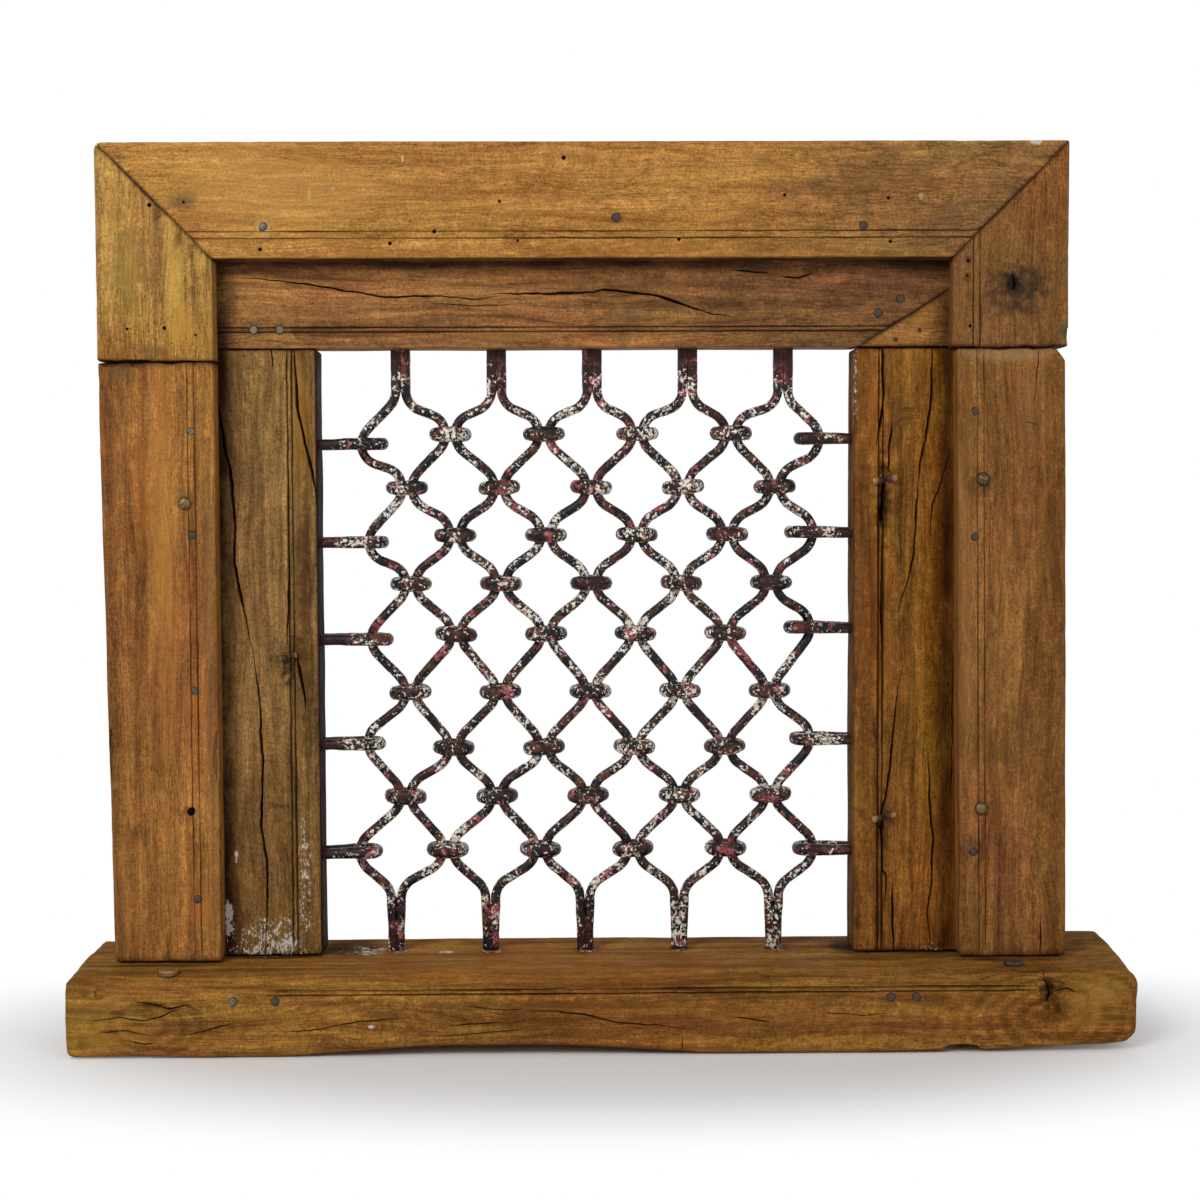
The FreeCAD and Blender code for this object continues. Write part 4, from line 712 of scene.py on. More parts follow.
def aged_teak(timber, tones):
    """Old hewn teak, rubbed and waxed for years.

    Pale and dark streaks run along the grain with short dark pores between them. Grime sits in the joints,
    the arrises are rubbed pale, and the sheen is dull."""
    material, add = new_material("aged_teak_" + timber.node)

    def stretched(along, across):
        """Scale of a pattern of these sizes, in millimetres, along and across the grain."""
        return [1 / ((along if axis == timber.grain else across) * MM) for axis in range(3)]

    def distance(vector, x, z, scale):
        """Distance from a place of the front face, measured with a scale."""
        offset = (-x * MM * scale[0], -timber.low.y * scale[1], -z * MM * scale[2])
        mapped = add("Mapping", {"Vector": vector, "Location": offset, "Scale": scale})
        return add("VectorMath", (mapped,), out="Value", operation="LENGTH")

    def colour(name):
        return tint(getattr(tones, name if hasattr(tones, name) else f"{timber.node}_{name}"))

    place = add("TexCoord", out="Object")
    bend = add("Mapping", {"Vector": place, "Scale": stretched(*WAVES)})
    bend = add("TexNoise", {"Vector": bend, "Scale": 1, "Detail": 2}, out="Color")
    curved = add("VectorMath", (bend, [WAVE_SWAY] * 3, place), operation="MULTIPLY_ADD")
    grain = {}
    for number, (name, (along, across, detail)) in enumerate(GRAIN.items()):
        offset = (timber.seed * 3.7 + number, timber.seed * 1.9, number * 2.3)
        mapped = add("Mapping", {"Vector": curved, "Location": offset, "Scale": stretched(along, across)})
        grain[name] = add("TexNoise", {
            "Vector": mapped, "Scale": 1, "Detail": detail, "Roughness": 0.62, "Distortion": 0.5})
    tone = {name: add("MapRange", (grain[source], *levels))
            for name, (source, *levels) in GRAIN_TONES.items()}
    # The marks carry painted shade as well as wear, dirt and paint
    worn = {name: add("Attribute", out="Fac", attribute_name=name) for name in WEAR_AND_SHADE}

    # Pale and dark wood, and the colour towards one side, partly the wood's own tone and partly painted shade
    shade = add("Math", (tone["shade"], tone["blotch"]), operation="ADD", use_clamp=True)
    base = add("Mix", {0: shade, 6: colour("pale"), 7: colour("dark")}, out=2, data_type="RGBA")
    cast = add("Math", (worn["cast"], grain["blotch"], 0.3), operation="MULTIPLY_ADD")
    cast = add("MapRange", (cast, 0.35, 1, 0, 0.75))
    base = add("Mix", {0: cast, 6: base, 7: colour("cast")}, out=2, data_type="RGBA")
    base = add("HueSaturation", {"Hue": tone["hue"], "Color": base})

    # Streaks, specks, year rings and the curls round knots make it lighter and darker
    rings = add("Math", (grain["ring"], RINGS_PER_NOISE), operation="MULTIPLY")
    rings = add("Math", (rings,), operation="SINE")
    factors = [tone["mottle"], tone["speck"], add("MapRange", (rings, -1, 1, 0.87, 1.09))]
    for x, z, radius in KNOTS.get(timber.node, ()):
        away = distance(curved, x, z, stretched(radius / 0.62, radius))
        turns = add("Math", (away, radius / 1.3, grain["figure"]), operation="MULTIPLY_ADD")
        curl = add("Math", (turns,), operation="SINE")
        near = add("MapRange", (away, 0.2, 1, 0.28, 0))
        factors.append(add("Math", (curl, near, 1), operation="MULTIPLY_ADD"))
    level = tone["streak"]
    for factor in factors:
        level = add("Math", (level, factor), operation="MULTIPLY")
    base = add("VectorMath", {0: base, "Scale": level}, operation="SCALE")

    # What lies on the wood, from the pores up to the painted shade in the cracks
    bound = add("Math", (worn["cast"], -0.05, tone["pore_bound"]), operation="MULTIPLY_ADD")
    above = add("Math", (grain["pore"], bound), operation="SUBTRACT")
    pore = add("MapRange", (above, 0, 0.07, 0, 0.52))
    rubbed = add("Math", (worn["arris"], grain["dirt"]), operation="MULTIPLY")
    layers = [(pore, colour("pore")), (add("MapRange", (rubbed, 0.3, 0.65, 0, 0.45)), colour("pale"))]
    for x, z, across, up, code, strength, softness in SPOTS.get(timber.node, ()):
        away = distance(place, x, z, [1 / (size * MM) for size in (across, max(across, up), up)])
        away = add("Math", (away, tone["ragged"]), operation="ADD")
        mask = add("MapRange", (away, 1 - softness, 1 + 0.4 * softness, strength, 0),
                   interpolation_type="SMOOTHSTEP")
        layers.append((mask, tint(linear(code))))
    # Dirt in the joints and painted shade in the recesses, broken up by blotches
    soiled = add("Math", (worn["grime"], grain["blotch"]), operation="MULTIPLY")
    flaked = add("Math", (worn["limewash"], tone["flaking"]), operation="MULTIPLY")
    flaked = add("Math", (worn["reveal"], timber.flakes, flaked), operation="MULTIPLY_ADD")
    bound = add("Math", (flaked, -0.42, 0.82), operation="MULTIPLY_ADD")
    above = add("Math", (grain["flake"], bound), operation="SUBTRACT")
    layers += [(add("MapRange", (soiled, 0.04, 0.55, 0, 0.9)), colour("grime")),
               (worn["reveal"], colour("reveal")),
               (add("MapRange", (above, 0, 0.06, 0, 0.92)), colour("limewash")),
               # Painted shade, darker the deeper a point lies in a crack, a hole or a scribed line
               (worn["hollow"], colour("crack"))]
    for mask, over in layers:
        base = add("Mix", {0: mask, 6: base, 7: over}, out=2, data_type="RGBA")

    relief = add("Math", (grain["streak"], pore), operation="SUBTRACT")
    relief = add("Math", (grain["dirt"], 1.6, relief), operation="MULTIPLY_ADD")
    depth = (0.3 + 0.2 * timber.hewing) * MM
    bump = add("Bump", {"Height": relief, "Distance": depth, "Strength": 0.7})
    surface = add("BsdfPrincipled", {
        "Base Color": base, "Roughness": tone["sheen"], "Normal": bump, "IOR": 1.45,
        "Specular IOR Level": timber.sheen})
    add("OutputMaterial", {"Surface": surface})
    return material


# Paint on the iron: size of the patches in millimetres, detail of the noise
PAINT = {
    "coat": (17, 3),
    "rust": (11, 4),
    "red": (13, 3),
    "fade": (2.6, 3),
    "fleck": (2.9, 4),
    "cluster": (21, 3),
    "pitting": (1.4, 2),
}
# What the paint does, written as for the grain
PAINT_TONES = {
    "coat": ("coat", 0.46, 0.56, 0, 1),
    "rust": ("rust", 0.54, 0.6, 0, 0.85),
    "red": ("red", 0.59, 0.63, 0, 0.9),
    "faded": ("fade", 0.45, 0.65, 0, 1),
    "soiled": ("fade", 0.5, 0.64, 0, 1),
    "bound": ("cluster", 0.34, 0.66, 0.68, 0.46),
}


def flaked_paint(colours):
    """Forged iron with many coats of brushed paint that have flaked in the weather.

    Black and maroon coats show brown rust and red patches, under a rash of cream flecks that stand a little
    proud."""
    material, add = new_material("flaked_paint_on_forged_iron")
    place = add("TexCoord", out="Object")
    paint = {}
    for number, (name, (size, detail)) in enumerate(PAINT.items()):
        offset = (number * 4.1, number * 2.7, number * 1.3)
        mapped = add("Mapping", {"Vector": place, "Location": offset, "Scale": [1 / (size * MM)] * 3})
        paint[name] = add("TexNoise", {
            "Vector": mapped, "Scale": 1, "Detail": detail, "Roughness": 0.62, "Distortion": 0.3})
    tone = {name: add("MapRange", (paint[source], *levels))
            for name, (source, *levels) in PAINT_TONES.items()}
    # Fewer flecks over more maroon where the bars and ties run into the frame: partly less flaked paint,
    # partly painted shade
    bare = add("Attribute", out="Fac", attribute_name="bare")
    coat = add("Math", (tone["coat"], bare), operation="MAXIMUM")
    bound = add("Math", (bare, 0.14, tone["bound"]), operation="MULTIPLY_ADD")
    above = add("Math", (paint["fleck"], bound), operation="SUBTRACT")
    fleck = add("MapRange", (above, 0, 0.035))
    red = add("Mix", {0: tone["faded"], 6: tint(colours.red), 7: tint(colours.pink)}, out=2, data_type="RGBA")
    cream = add("Mix", {0: tone["soiled"], 6: tint(colours.cream), 7: tint(colours.dust)}, out=2,
                data_type="RGBA")
    base = tint(colours.black)
    for mask, over in ((coat, tint(colours.maroon)), (tone["rust"], tint(colours.rust)), (tone["red"], red),
                       (fleck, cream)):
        base = add("Mix", {0: mask, 6: base, 7: over}, out=2, data_type="RGBA")
    relief = add("Math", (paint["pitting"], 0.6, fleck), operation="MULTIPLY_ADD")
    bump = add("Bump", {"Height": relief, "Distance": 0.3 * MM, "Strength": 0.8})
    gloss = add("MapRange", (fleck, 0, 1, 0.42, 0.7))
    surface = add("BsdfPrincipled", {
        "Base Color": base, "Roughness": gloss, "Normal": bump, "IOR": 1.5, "Specular IOR Level": 0.2})
    add("OutputMaterial", {"Surface": surface})
    return material


def rubbed_iron(name, dull, bright, metal=0.25, gloss=(0.65, 0.4)):
    """Hand-forged iron, brown with old rust, rubbed bright on the heads."""
    material, add = new_material(name)
    place = add("TexCoord", out="Object")
    mapped = add("Mapping", {"Vector": place, "Scale": [1 / (2.5 * MM)] * 3})
    crust = add("TexNoise", {"Vector": mapped, "Scale": 1, "Detail": 4, "Roughness": 0.65})
    rubbed = add("Attribute", out="Fac", attribute_name="rubbed")
    worn = add("Math", (crust, 0.9, rubbed), operation="MULTIPLY_ADD")
    worn = add("MapRange", (worn, 0.65, 1.25))
    base = add("Mix", {0: worn, 6: tint(dull), 7: tint(bright)}, out=2, data_type="RGBA")
    polish = add("MapRange", (worn, 0, 1, *gloss))
    bump = add("Bump", {"Height": crust, "Distance": 0.25 * MM, "Strength": 0.6})
    surface = add("BsdfPrincipled", {
        "Base Color": base, "Roughness": polish, "Normal": bump, "Metallic": metal})
    add("OutputMaterial", {"Surface": surface})
    return material


# Timbers

@dataclass
class Timber:
    """One wooden piece: its box, the way of its grain, how it is cut and how it is worn."""
    node: str
    slot: str
    low: Vector
    high: Vector
    grain: int
    seed: int
    # The side colour is partly the wood's own tone and partly painted shade
    cast: tuple             # axis, and where the cast starts and is full, in millimetres
    cuts: tuple = ()        # planes of sawn ends: point, outward normal and eased edge
    # Joints darken with dirt, and with painted shade under a lip, beside a post and at a foot
    joints: tuple = ()      # planes where grime gathers: point, normal, reach and strength
    lines: tuple = ()       # scribed lines, as pairs of ends in millimetres
    rebates: tuple = ()     # ready cutters
    nails: tuple = ()       # nodes of the nails in its face
    line_depth: float = 1
    hewing: float = 1
    wear: float = 1
    sheen: float = 0.1
    reveal: float = None    # where the opening's painted side face lies across
    coat: float = 1         # how much of the old paint is left on that face
    flakes: float = 0       # how much lime wash is on it
    lean: object = None     # moves a point of the box to its place in a leaning timber
    radius: object = None   # radius of the arrises at a point of the box


def worn_block(timber, wear):
    """A box with worn arrises of uneven radius and faces hewn along the grain."""
    low, high, seed = timber.low, timber.high, timber.seed
    size = high - low
    bm = bmesh.new()
    place = Matrix.Translation((low + high) / 2) @ Matrix.Diagonal((*size, 1))
    bmesh.ops.create_cube(bm, size=1, matrix=place)
    for axis, normal in enumerate((X, Y, Z)):
        for inset in (0.25, 0.7, 1.3):
            for edge in (low[axis] + inset * wear.arris, high[axis] - inset * wear.arris):
                bmesh.ops.bisect_plane(
                    bm, geom=bm.verts[:] + bm.edges[:] + bm.faces[:], plane_co=normal * edge, plane_no=normal)
        long = [edge for edge in bm.edges
                if abs((edge.verts[1].co - edge.verts[0].co)[axis]) > 1.5 * wear.grid]
        run = size[axis] - 2.6 * wear.arris
        bmesh.ops.subdivide_edges(bm, edges=long, cuts=max(round(run / wear.grid) - 1, 1), use_grid_fill=True)
    stretch = Vector([1 / 6 if axis == timber.grain else 1 for axis in range(3)])
    depth = wear.hewn * timber.hewing
    worn = wear.arris * timber.wear
    for vert in bm.verts:
        point = vert.co.copy()
        reach = timber.radius(point) if timber.radius else worn
        dents = max(rough(point, 13 * MM, seed + 1) - 0.25, 0)
        reach += worn * (0.4 * rough(point, 50 * MM, seed) + dents - 0.2)
        core = Vector([min(max(point[axis], low[axis] + reach), high[axis] - reach) for axis in range(3)])
        along = point * stretch
        marks = (0.5 + 0.3 * rough(along, 24 * MM, seed + 2) + 0.22 * rough(along, 7 * MM, seed + 3)
                 + 0.3 * rough(point, 60 * MM, seed + 4))
        vert.co = core + (point - core).normalized() * (reach - depth * min(max(marks, 0), 1))
    return bm


def build_timber(*basics, **details):
    """Shapes, cuts and weathers one timber."""
    timber = Timber(*basics, **details)
    scene = bpy.context.scene
    wear = scene.jali_wear
    seed = timber.seed
    plane = timber.low.y
    bm = worn_block(timber, wear)
    if timber.lean:
        for vert in bm.verts:
            vert.co += timber.lean(vert.co)
    for cut in timber.cuts:
        saw(bm, *cut)
    piece = new_piece(timber.node, bm, aged_teak(timber, scene.jali_teak))
    for cutter in timber.rebates:
        carve(piece, cutter)
    for number, (x, z, *size) in enumerate(CHIPS.get(timber.node, ())):
        carve(piece, gouge(Vector((x * MM, plane, z * MM)), Vector(size) * MM, seed + number))
    skin = bmesh.new()
    skin.from_mesh(piece.data)
    surface = BVHTree.FromBMesh(skin)
    skin.free()
    face = plane + wear.hewn * timber.hewing / 2
    width, depth = wear.groove_width * timber.line_depth, wear.groove_depth * timber.line_depth
    for number, ends in enumerate(timber.lines):
        carve(piece, furrow(ends, surface, face, width, depth, seed + number, scribed=True))
    for number, (points, width, depth) in enumerate(CRACKS.get(timber.node, ())):
        carve(piece, furrow(points, surface, face, width * MM, depth * MM, seed + 20 + number))
    for x, z, radius in HOLES.get(timber.node, ()):
        carve(piece, pit(Vector((x * MM, plane, z * MM)), radius * MM, (0.4 + radius) * MM))
    for node in timber.nails:
        for box in solids(node):
            place = middle(box)
            place.y = plane
            radius = (box[1].x - box[0].x) / 2 * HEADS[node][1] + 0.6 * MM
            carve(piece, pit(place, radius, 1.4 * MM + face - plane))
    smooth_piece(piece)
    weather(piece, timber, surface)


def patched(table, timber, point):
    """Strength of the patches of a table at a point of a timber."""
    most = 0.0
    for (x, y, z), size, strength in table.get(timber.node, ()):
        away = point - Vector((x * MM, timber.low.y + y * MM, z * MM))
        share = Vector([away[way] / (size[way] * MM) for way in range(3)]).length
        most = max(most, strength * (1 - smooth_step(share, 0.35, 1)))
    return most


def weather(piece, timber, surface):
    """Writes how worn, dirty and painted each point of a timber is."""
    marks = {name: [] for name in WEAR_AND_SHADE}
    axis, start, full = timber.cast
    for vert in piece.data.vertices:
        point = vert.co
        depth = surface.find_nearest(point)[3]
        margins = sorted(min(point[way] - timber.low[way], timber.high[way] - point[way]) for way in range(3))
        # Painted shade: how deep the point lies in a cut
        marks["hollow"].append(smooth_step(depth, 0.1 * MM, 1.5 * MM))
        marks["arris"].append(1 - smooth_step(margins[1], 0.5 * MM, 7 * MM))
        # Dirt in the joints, and painted shade under the lips, beside the posts and at the feet
        near = [share * math.exp(-((point - place).dot(normal) / reach) ** 2)
                for place, normal, reach, share in timber.joints]
        marks["grime"].append(max(near + [patched(GRIME_AND_SHADE, timber, point)]))
        # Share of the side colour: partly own tone, partly painted shade
        marks["cast"].append(smooth_step(point[axis] / MM, start, full))
        shown = 0.0
        if timber.reveal is not None:
            shown = timber.coat * (1 - smooth_step(abs(point.x - timber.reveal), 1.2 * MM, 3 * MM))
        marks["reveal"].append(shown)
        marks["limewash"].append(patched(LIME, timber, point))
    for name, values in marks.items():
        set_attribute(piece.data, name, values)


def at(x=0.0, z=0.0):
    """A point of the frame's plane."""
    return Vector((x, 0, z))


def upright_lines(insets, edge, out, low, high, slope=0.0):
    """Scribed lines along an upright timber, in millimetres."""
    heads = [edge + out * inset for inset in insets]
    return tuple((((head + slope) / MM, low / MM - GROOVE_OVERRUN), (head / MM, high / MM + GROOVE_OVERRUN))
                 for head in heads)


def level_lines(heights, left, right):
    """Scribed lines along a level timber, in millimetres."""
    return tuple(((left / MM - GROOVE_OVERRUN, height / MM), (right / MM + GROOVE_OVERRUN, height / MM))
                 for height in heights)


class OBJECT_OT_jali_outer_frame(bpy.types.Operator):
    """Builds the header, the corner blocks and the posts"""
    bl_idname = "object.jali_outer_frame"
    bl_label = "Outer frame"

    joint_gap: length("Joint gap", "Eased edge beside a sawn joint", 0.8 * MM)
    corner: length("Corner", "Worn corner of the frame at upper left", 5 * MM)

    def rebate(self, axis, start, end, inner, lap, out):
        """Cutter for the rebate behind a timber, from its inner edge to the lap, with a bevel at the back."""
        far = OVERHANG
        outline = ((inner, INNER_FACE), (lap, INNER_FACE), (lap, BACK - REAR_BEVEL),
                   (lap + out * (REAR_BEVEL + far), BACK + far), (inner, BACK + far))
        corners = [Vector((start, y, side) if axis == X else (side, y, start)) for side, y in outline]
        return prism(corners, axis * (end - start))

    def execute(self, context):
        ease, far = self.joint_gap, OVERHANG
        mitres = {"left": (at(POST_LEFT, HEADER_LOW), at(1, 1).normalized()),
                  "right": (at(POST_RIGHT, HEADER_LOW), at(-1, 1).normalized())}
        corner = (at(FRAME_LEFT + self.corner, HEADER_TOP), at(-1, 1), 2.5 * MM)
        # Dirt in the joints, and painted shade along the header's lower edge and at the posts' feet
        below = (at(0, HEADER_LOW), Z, 1.2 * MM, 1)
        foot = (at(0, SILL_TOP), Z, 4 * MM, 1)
        build_timber(
            "header", "outer_teak", *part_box("header"), ALONG_X, seed=1, cast=(0, 60, 300),
            cuts=(*((point - normal * SAW_GAP, -normal, ease) for point, normal in mitres.values()), corner),
            joints=(*((*mitre, 1.6 * MM, 1) for mitre in mitres.values()), below),
            lines=level_lines([HEADER_LOW + inset for inset in FRAME_GROOVES], FRAME_LEFT, FRAME_RIGHT),
            rebates=(self.rebate(X, FRAME_LEFT - far, FRAME_RIGHT + far, HEADER_LOW - far, LAP_TOP, 1),),
            nails=("header_nails",), line_depth=0.95)

        def side_rebate(side, top):
            lap, post, out = (LAP_LEFT, POST_LEFT, -1) if side == "left" else (LAP_RIGHT, POST_RIGHT, 1)
            return self.rebate(Z, SILL_TOP - far, top, post - out * REBATE_REACH, lap, out)

        for side, out, joint, edge, seed, cast, depth in (
                ("left", -1, LEFT_JOINT, POST_LEFT, 2, (2, 650, 590), 0.7),
                ("right", 1, RIGHT_JOINT, POST_RIGHT, 3, (2, 640, 760), 0.95)):
            node = side + "_corner_block"
            point, normal = mitres[side]
            mitre = (point - normal * SAW_GAP, normal, ease)
            build_timber(
                node, "outer_teak", lowest(node), Vector((*highest(node).xy, HEADER_TOP)), ALONG_Z, seed=seed,
                cast=cast, cuts=(mitre, corner) if side == "left" else (mitre,),
                joints=((point, normal, 1.6 * MM, 1), (at(0, joint), Z, 3 * MM, 1)),
                lines=upright_lines(FRAME_GROOVES, edge, out, joint, HEADER_TOP),
                rebates=(side_rebate(side, LAP_TOP),), line_depth=depth)

        def left_lean(point):
            down = (LEFT_JOINT - point.z) / (LEFT_JOINT - SILL_TOP)
            return X * LEFT_POST_TAPER * down * (POST_LEFT - point.x) / (POST_LEFT - FRAME_LEFT)

        def right_lean(point):
            return X * RIGHT_POST_SHIFT * (RIGHT_JOINT - point.z) / (RIGHT_JOINT - SILL_TOP)

        build_timber(
            "left_post", "outer_teak", Vector((FRAME_LEFT, FACE, SILL_TOP)),
            Vector((POST_LEFT, BACK, LEFT_JOINT)), ALONG_Z, seed=4, cast=(0, -385, -425),
            joints=((at(0, LEFT_JOINT), Z, 4 * MM, 1), foot),
            lines=upright_lines(FRAME_GROOVES, POST_LEFT, -1, SILL_TOP, LEFT_JOINT), lean=left_lean,
            rebates=(side_rebate("left", LEFT_JOINT + far),), nails=("left_post_nails",), line_depth=0.8,
            hewing=1.6, wear=1.4)
        head = RIGHT_POST_FOOT - RIGHT_POST_SHIFT
        worn_corner = (at(head - 9 * MM, RIGHT_JOINT), at(1, 0.8), 4 * MM)
        build_timber(
            "right_post", "outer_teak", Vector((RIGHT_POST_HEAD, FACE, SILL_TOP)),
            Vector((head, BACK, RIGHT_JOINT)), ALONG_Z, seed=5, cast=(0, 355, 400), cuts=(worn_corner,),
            joints=((at(0, RIGHT_JOINT), Z, 2 * MM, 1), foot),
            lines=upright_lines(FRAME_GROOVES, RIGHT_POST_HEAD, 1, SILL_TOP, RIGHT_JOINT, RIGHT_POST_SHIFT),
            lean=right_lean, rebates=(side_rebate("right", RIGHT_JOINT + far),), nails=("right_post_nails",),
            line_depth=0.8, hewing=1.6, wear=1.3)
        return {"FINISHED"}


class OBJECT_OT_jali_inner_frame(bpy.types.Operator):
    """Builds the inner header, its wedge and the two stiles"""
    bl_idname = "object.jali_inner_frame"
    bl_label = "Inner frame"

    joint_gap: length("Joint gap", "Eased edge beside the slanting joint", 0.8 * MM)

    def execute(self, context):
        ease = self.joint_gap
        slant = at(LAP_RIGHT - OPEN_RIGHT, WEDGE_TOP - OPEN_TOP)
        across = at(slant.z, -slant.x).normalized()
        start = at(OPEN_RIGHT, OPEN_TOP)
        # Painted shade under the header's lip and beside the posts, dirt at the head and in the slanting
        # joint, dirt and painted shade at the foot
        lip = (at(0, HEADER_LOW), Z, 9 * MM, 1)
        left_lip = (at(POST_LEFT), X, 13 * MM, 1)
        right_lip = (at(POST_RIGHT), X, 9 * MM, 0.8)
        head = (at(0, OPEN_TOP), Z, 2.5 * MM, 1)
        foot = (at(0, SILL_TOP), Z, 4 * MM, 1)
        joint = (start, across, 2 * MM, 1)
        build_timber(
            "inner_header", "inner_teak", *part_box("inner_header"), ALONG_X, seed=6, cast=(0, 0, 200),
            cuts=((start - across * SAW_GAP, across, ease),), joints=(lip, left_lip, joint),
            lines=level_lines([OPEN_TOP + inset for inset in HEADER_GROOVES], LAP_LEFT, LAP_RIGHT),
            nails=("inner_header_pins",), line_depth=1.15, hewing=1.4)
        # The wedge's colour towards the right post is painted shade of the recess there
        build_timber(
            "inner_corner_wedge", "inner_teak", *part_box("inner_corner_wedge"), ALONG_X, seed=7,
            cast=(0, 270, 300), cuts=((start + across * SAW_GAP, -across, ease),),
            joints=(joint, right_lip, head), nails=("wedge_brads",))
        edge = OPEN_LEFT + STILE_LAP
        build_timber(
            "left_inner_stile", "inner_teak", Vector((LAP_LEFT, INNER_FACE, SILL_TOP)),
            Vector((edge, INNER_BACK, OPEN_TOP)), ALONG_Z, seed=8, cast=(2, 330, 130),
            joints=(left_lip, head, foot), reveal=edge, flakes=0.28,
            lines=upright_lines(STILE_GROOVES, OPEN_LEFT, -1, SILL_TOP, OPEN_TOP),
            line_depth=1.25, hewing=2, wear=1.3, sheen=0.02)
        # The right stile's colour towards the right post is painted shade of the recess there
        edge = OPEN_RIGHT - STILE_LAP
        build_timber(
            "right_inner_stile", "inner_teak", Vector((edge, INNER_FACE, SILL_TOP)),
            Vector((LAP_RIGHT, INNER_BACK, OPEN_TOP)), ALONG_Z, seed=9, cast=(0, 262, 296),
            joints=(right_lip, head, foot), reveal=edge, flakes=0.5, coat=0.5,
            lines=upright_lines(STILE_GROOVES, OPEN_RIGHT, 1, SILL_TOP, OPEN_TOP),
            line_depth=1.4, hewing=2, wear=1.3, sheen=0.02)
        return {"FINISHED"}


class OBJECT_OT_jali_sill(bpy.types.Operator):
    """Builds the hewn sill"""
    bl_idname = "object.jali_sill"
    bl_label = "Sill"

    nose: length("Nose", "Radius of the worn upper front edge", 24 * MM)
    heel: length("Heel", "Radius of the lower front edge", 6 * MM)
    left_end: length("Left end", "Radius of the left end's corners", 5 * MM)
    right_end: length("Right end", "Radius of the right end's corners", 17 * MM)
    arch_rise: length("Arch", "Height of the worn underside", 8.2 * MM)
    heel_rise: length("Rise", "Height of the right end over the ground", 5 * MM)
    horn_rise: length("Horn", "Height of the right horn's rear over the rest of the top", 3.5 * MM)

    def execute(self, context):
        def radius(point):
            level = point.z / SILL_TOP
            edge = abs(2 * level - 1)
            front = 1 - smooth_step(point.y, SILL_FRONT + 15 * MM, 0)
            near_left = 1 - smooth_step(point.x, SILL_LEFT, SILL_LEFT + 60 * MM)
            near_right = smooth_step(point.x, SILL_RIGHT - 60 * MM, SILL_RIGHT)
            upper = self.nose * (1 - 0.8 * near_left) * (1 - 0.65 * near_right)
            nose = 2.5 * MM + front * edge * (upper if level > 0.5 else self.heel)
            left = near_left * self.left_end * (0.4 + 0.3 * front)
            right = near_right * self.right_end * (0.35 + 0.65 * front) * (1 - 0.1 * level)
            return max(nose, left, right)

        def lean(point):
            """The worn underside, an arch and a rising heel, and the proud rear of the right horn."""
            share = (point.x - ARCH_START) / (ARCH_END - ARCH_START)
            rise = self.arch_rise * 4 * share * (1 - share) if 0 < share < 1 else 0
            rise += self.heel_rise * smooth_step(point.x, HEEL_START, SILL_RIGHT - 20 * MM)
            proud = smooth_step(point.x, RIGHT_POST_FOOT, SILL_RIGHT - 25 * MM)
            proud *= smooth_step(point.y, FACE, BACK)
            return Z * (rise * (1 - point.z / SILL_TOP) + self.horn_rise * proud * point.z / SILL_TOP)

        notch = prism([Vector((x * MM, SILL_FRONT - OVERHANG, z * MM)) for x, z in SILL_NOTCH],
                      Y * (BACK - SILL_FRONT + 2 * OVERHANG))
        build_timber(
            "sill", "sill_teak", *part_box("sill"), ALONG_X, seed=10, cast=(0, 250, 430), lean=lean,
            radius=radius, lines=level_lines([SILL_TOP - drop for drop in SILL_GROOVES], -285 * MM, 365 * MM),
            rebates=(notch,), nails=("sill_pins",), line_depth=1.25, hewing=2.6, sheen=0.012,
            # The top is darker towards the rear
            joints=((Vector((0, BACK, 0)), Y, 30 * MM, 0.2),))
        return {"FINISHED"}


# Grille

def hammered(bm, depth, seed):
    """Uneven, hand-hammered surface."""
    bm.normal_update()
    moves = [vert.normal * depth * (rough(vert.co, 9 * MM, seed) + 0.4 * rough(vert.co, 3.5 * MM, seed + 1))
             for vert in bm.verts]
    for vert, move in zip(bm.verts, moves):
        vert.co += move


def round_ring(radius, sides, flat=1.0, square=0.0):
    """Corners of a round section, which square turns towards a box with round corners."""
    ring = []
    for side in range(sides):
        across, up = math.cos(math.tau * side / sides), math.sin(math.tau * side / sides)
        reach = radius * (1 + square * (1 / max(abs(across), abs(up)) - 1))
        ring.append((reach * across, reach * flat * up))
    return ring


def s_bend(low, high, step):
    """Arc, straight and arc from one upright stretch of a bar to the next, without its first point."""
    across, rise = high.x - low.x, high.z - low.z
    out = X * math.copysign(1, across)
    radius = min(BAR_BEND_RADIUS, 0.95 * (across * across + rise * rise) / (4 * abs(across)))
    run = abs(across) - 2 * radius
    turn = math.atan2(run, rise) + math.asin(2 * radius / math.hypot(run, rise))
    count = max(round(radius * turn / step), 3)
    first = arc(low + out * radius, 0, turn, radius, -out, Z, count)
    upper = high - out * radius
    second = arc(upper, -turn, 0, radius, out, Z, count)
    start = upper + out * radius * math.cos(turn) - Z * radius * math.sin(turn)
    return first + line(first[-1], start, step) + second


def bar_end(number, top):
    """Centre of a bar's upper or lower end."""
    node = f"grille_bar_{number}"
    edge = highest(node).z if top else lowest(node).z
    across = [vert.co.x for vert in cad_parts[node].data.vertices if abs(vert.co.z - edge) < MM]
    return Vector(((min(across) + max(across)) / 2, GRILLE, edge))


def pair_half():
    """Half the distance between the two bars of a pair."""
    return (bar_end(2, True).x - bar_end(1, True).x) / 2


def tie_bar(side, number):
    """Centre of the outer bar where a tie holds it, and the tie's radius and half width."""
    low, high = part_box(f"{side}_tie_{number}")
    radius = (high.z - low.z) / 2
    leg = (high.y - low.y) / 2 - radius
    x = high.x - leg - radius if side == "left" else low.x + leg + radius
    return Vector((x, (low.y + high.y) / 2, (low.z + high.z) / 2)), radius, leg


def painted_piece(node, bm, bare):
    """A piece of the grille, with the share of bare iron at each of its points."""
    piece = new_piece(node, bm, bpy.data.materials["flaked_paint_on_forged_iron"])
    set_attribute(piece.data, "bare", [bare(vert.co) for vert in piece.data.vertices])


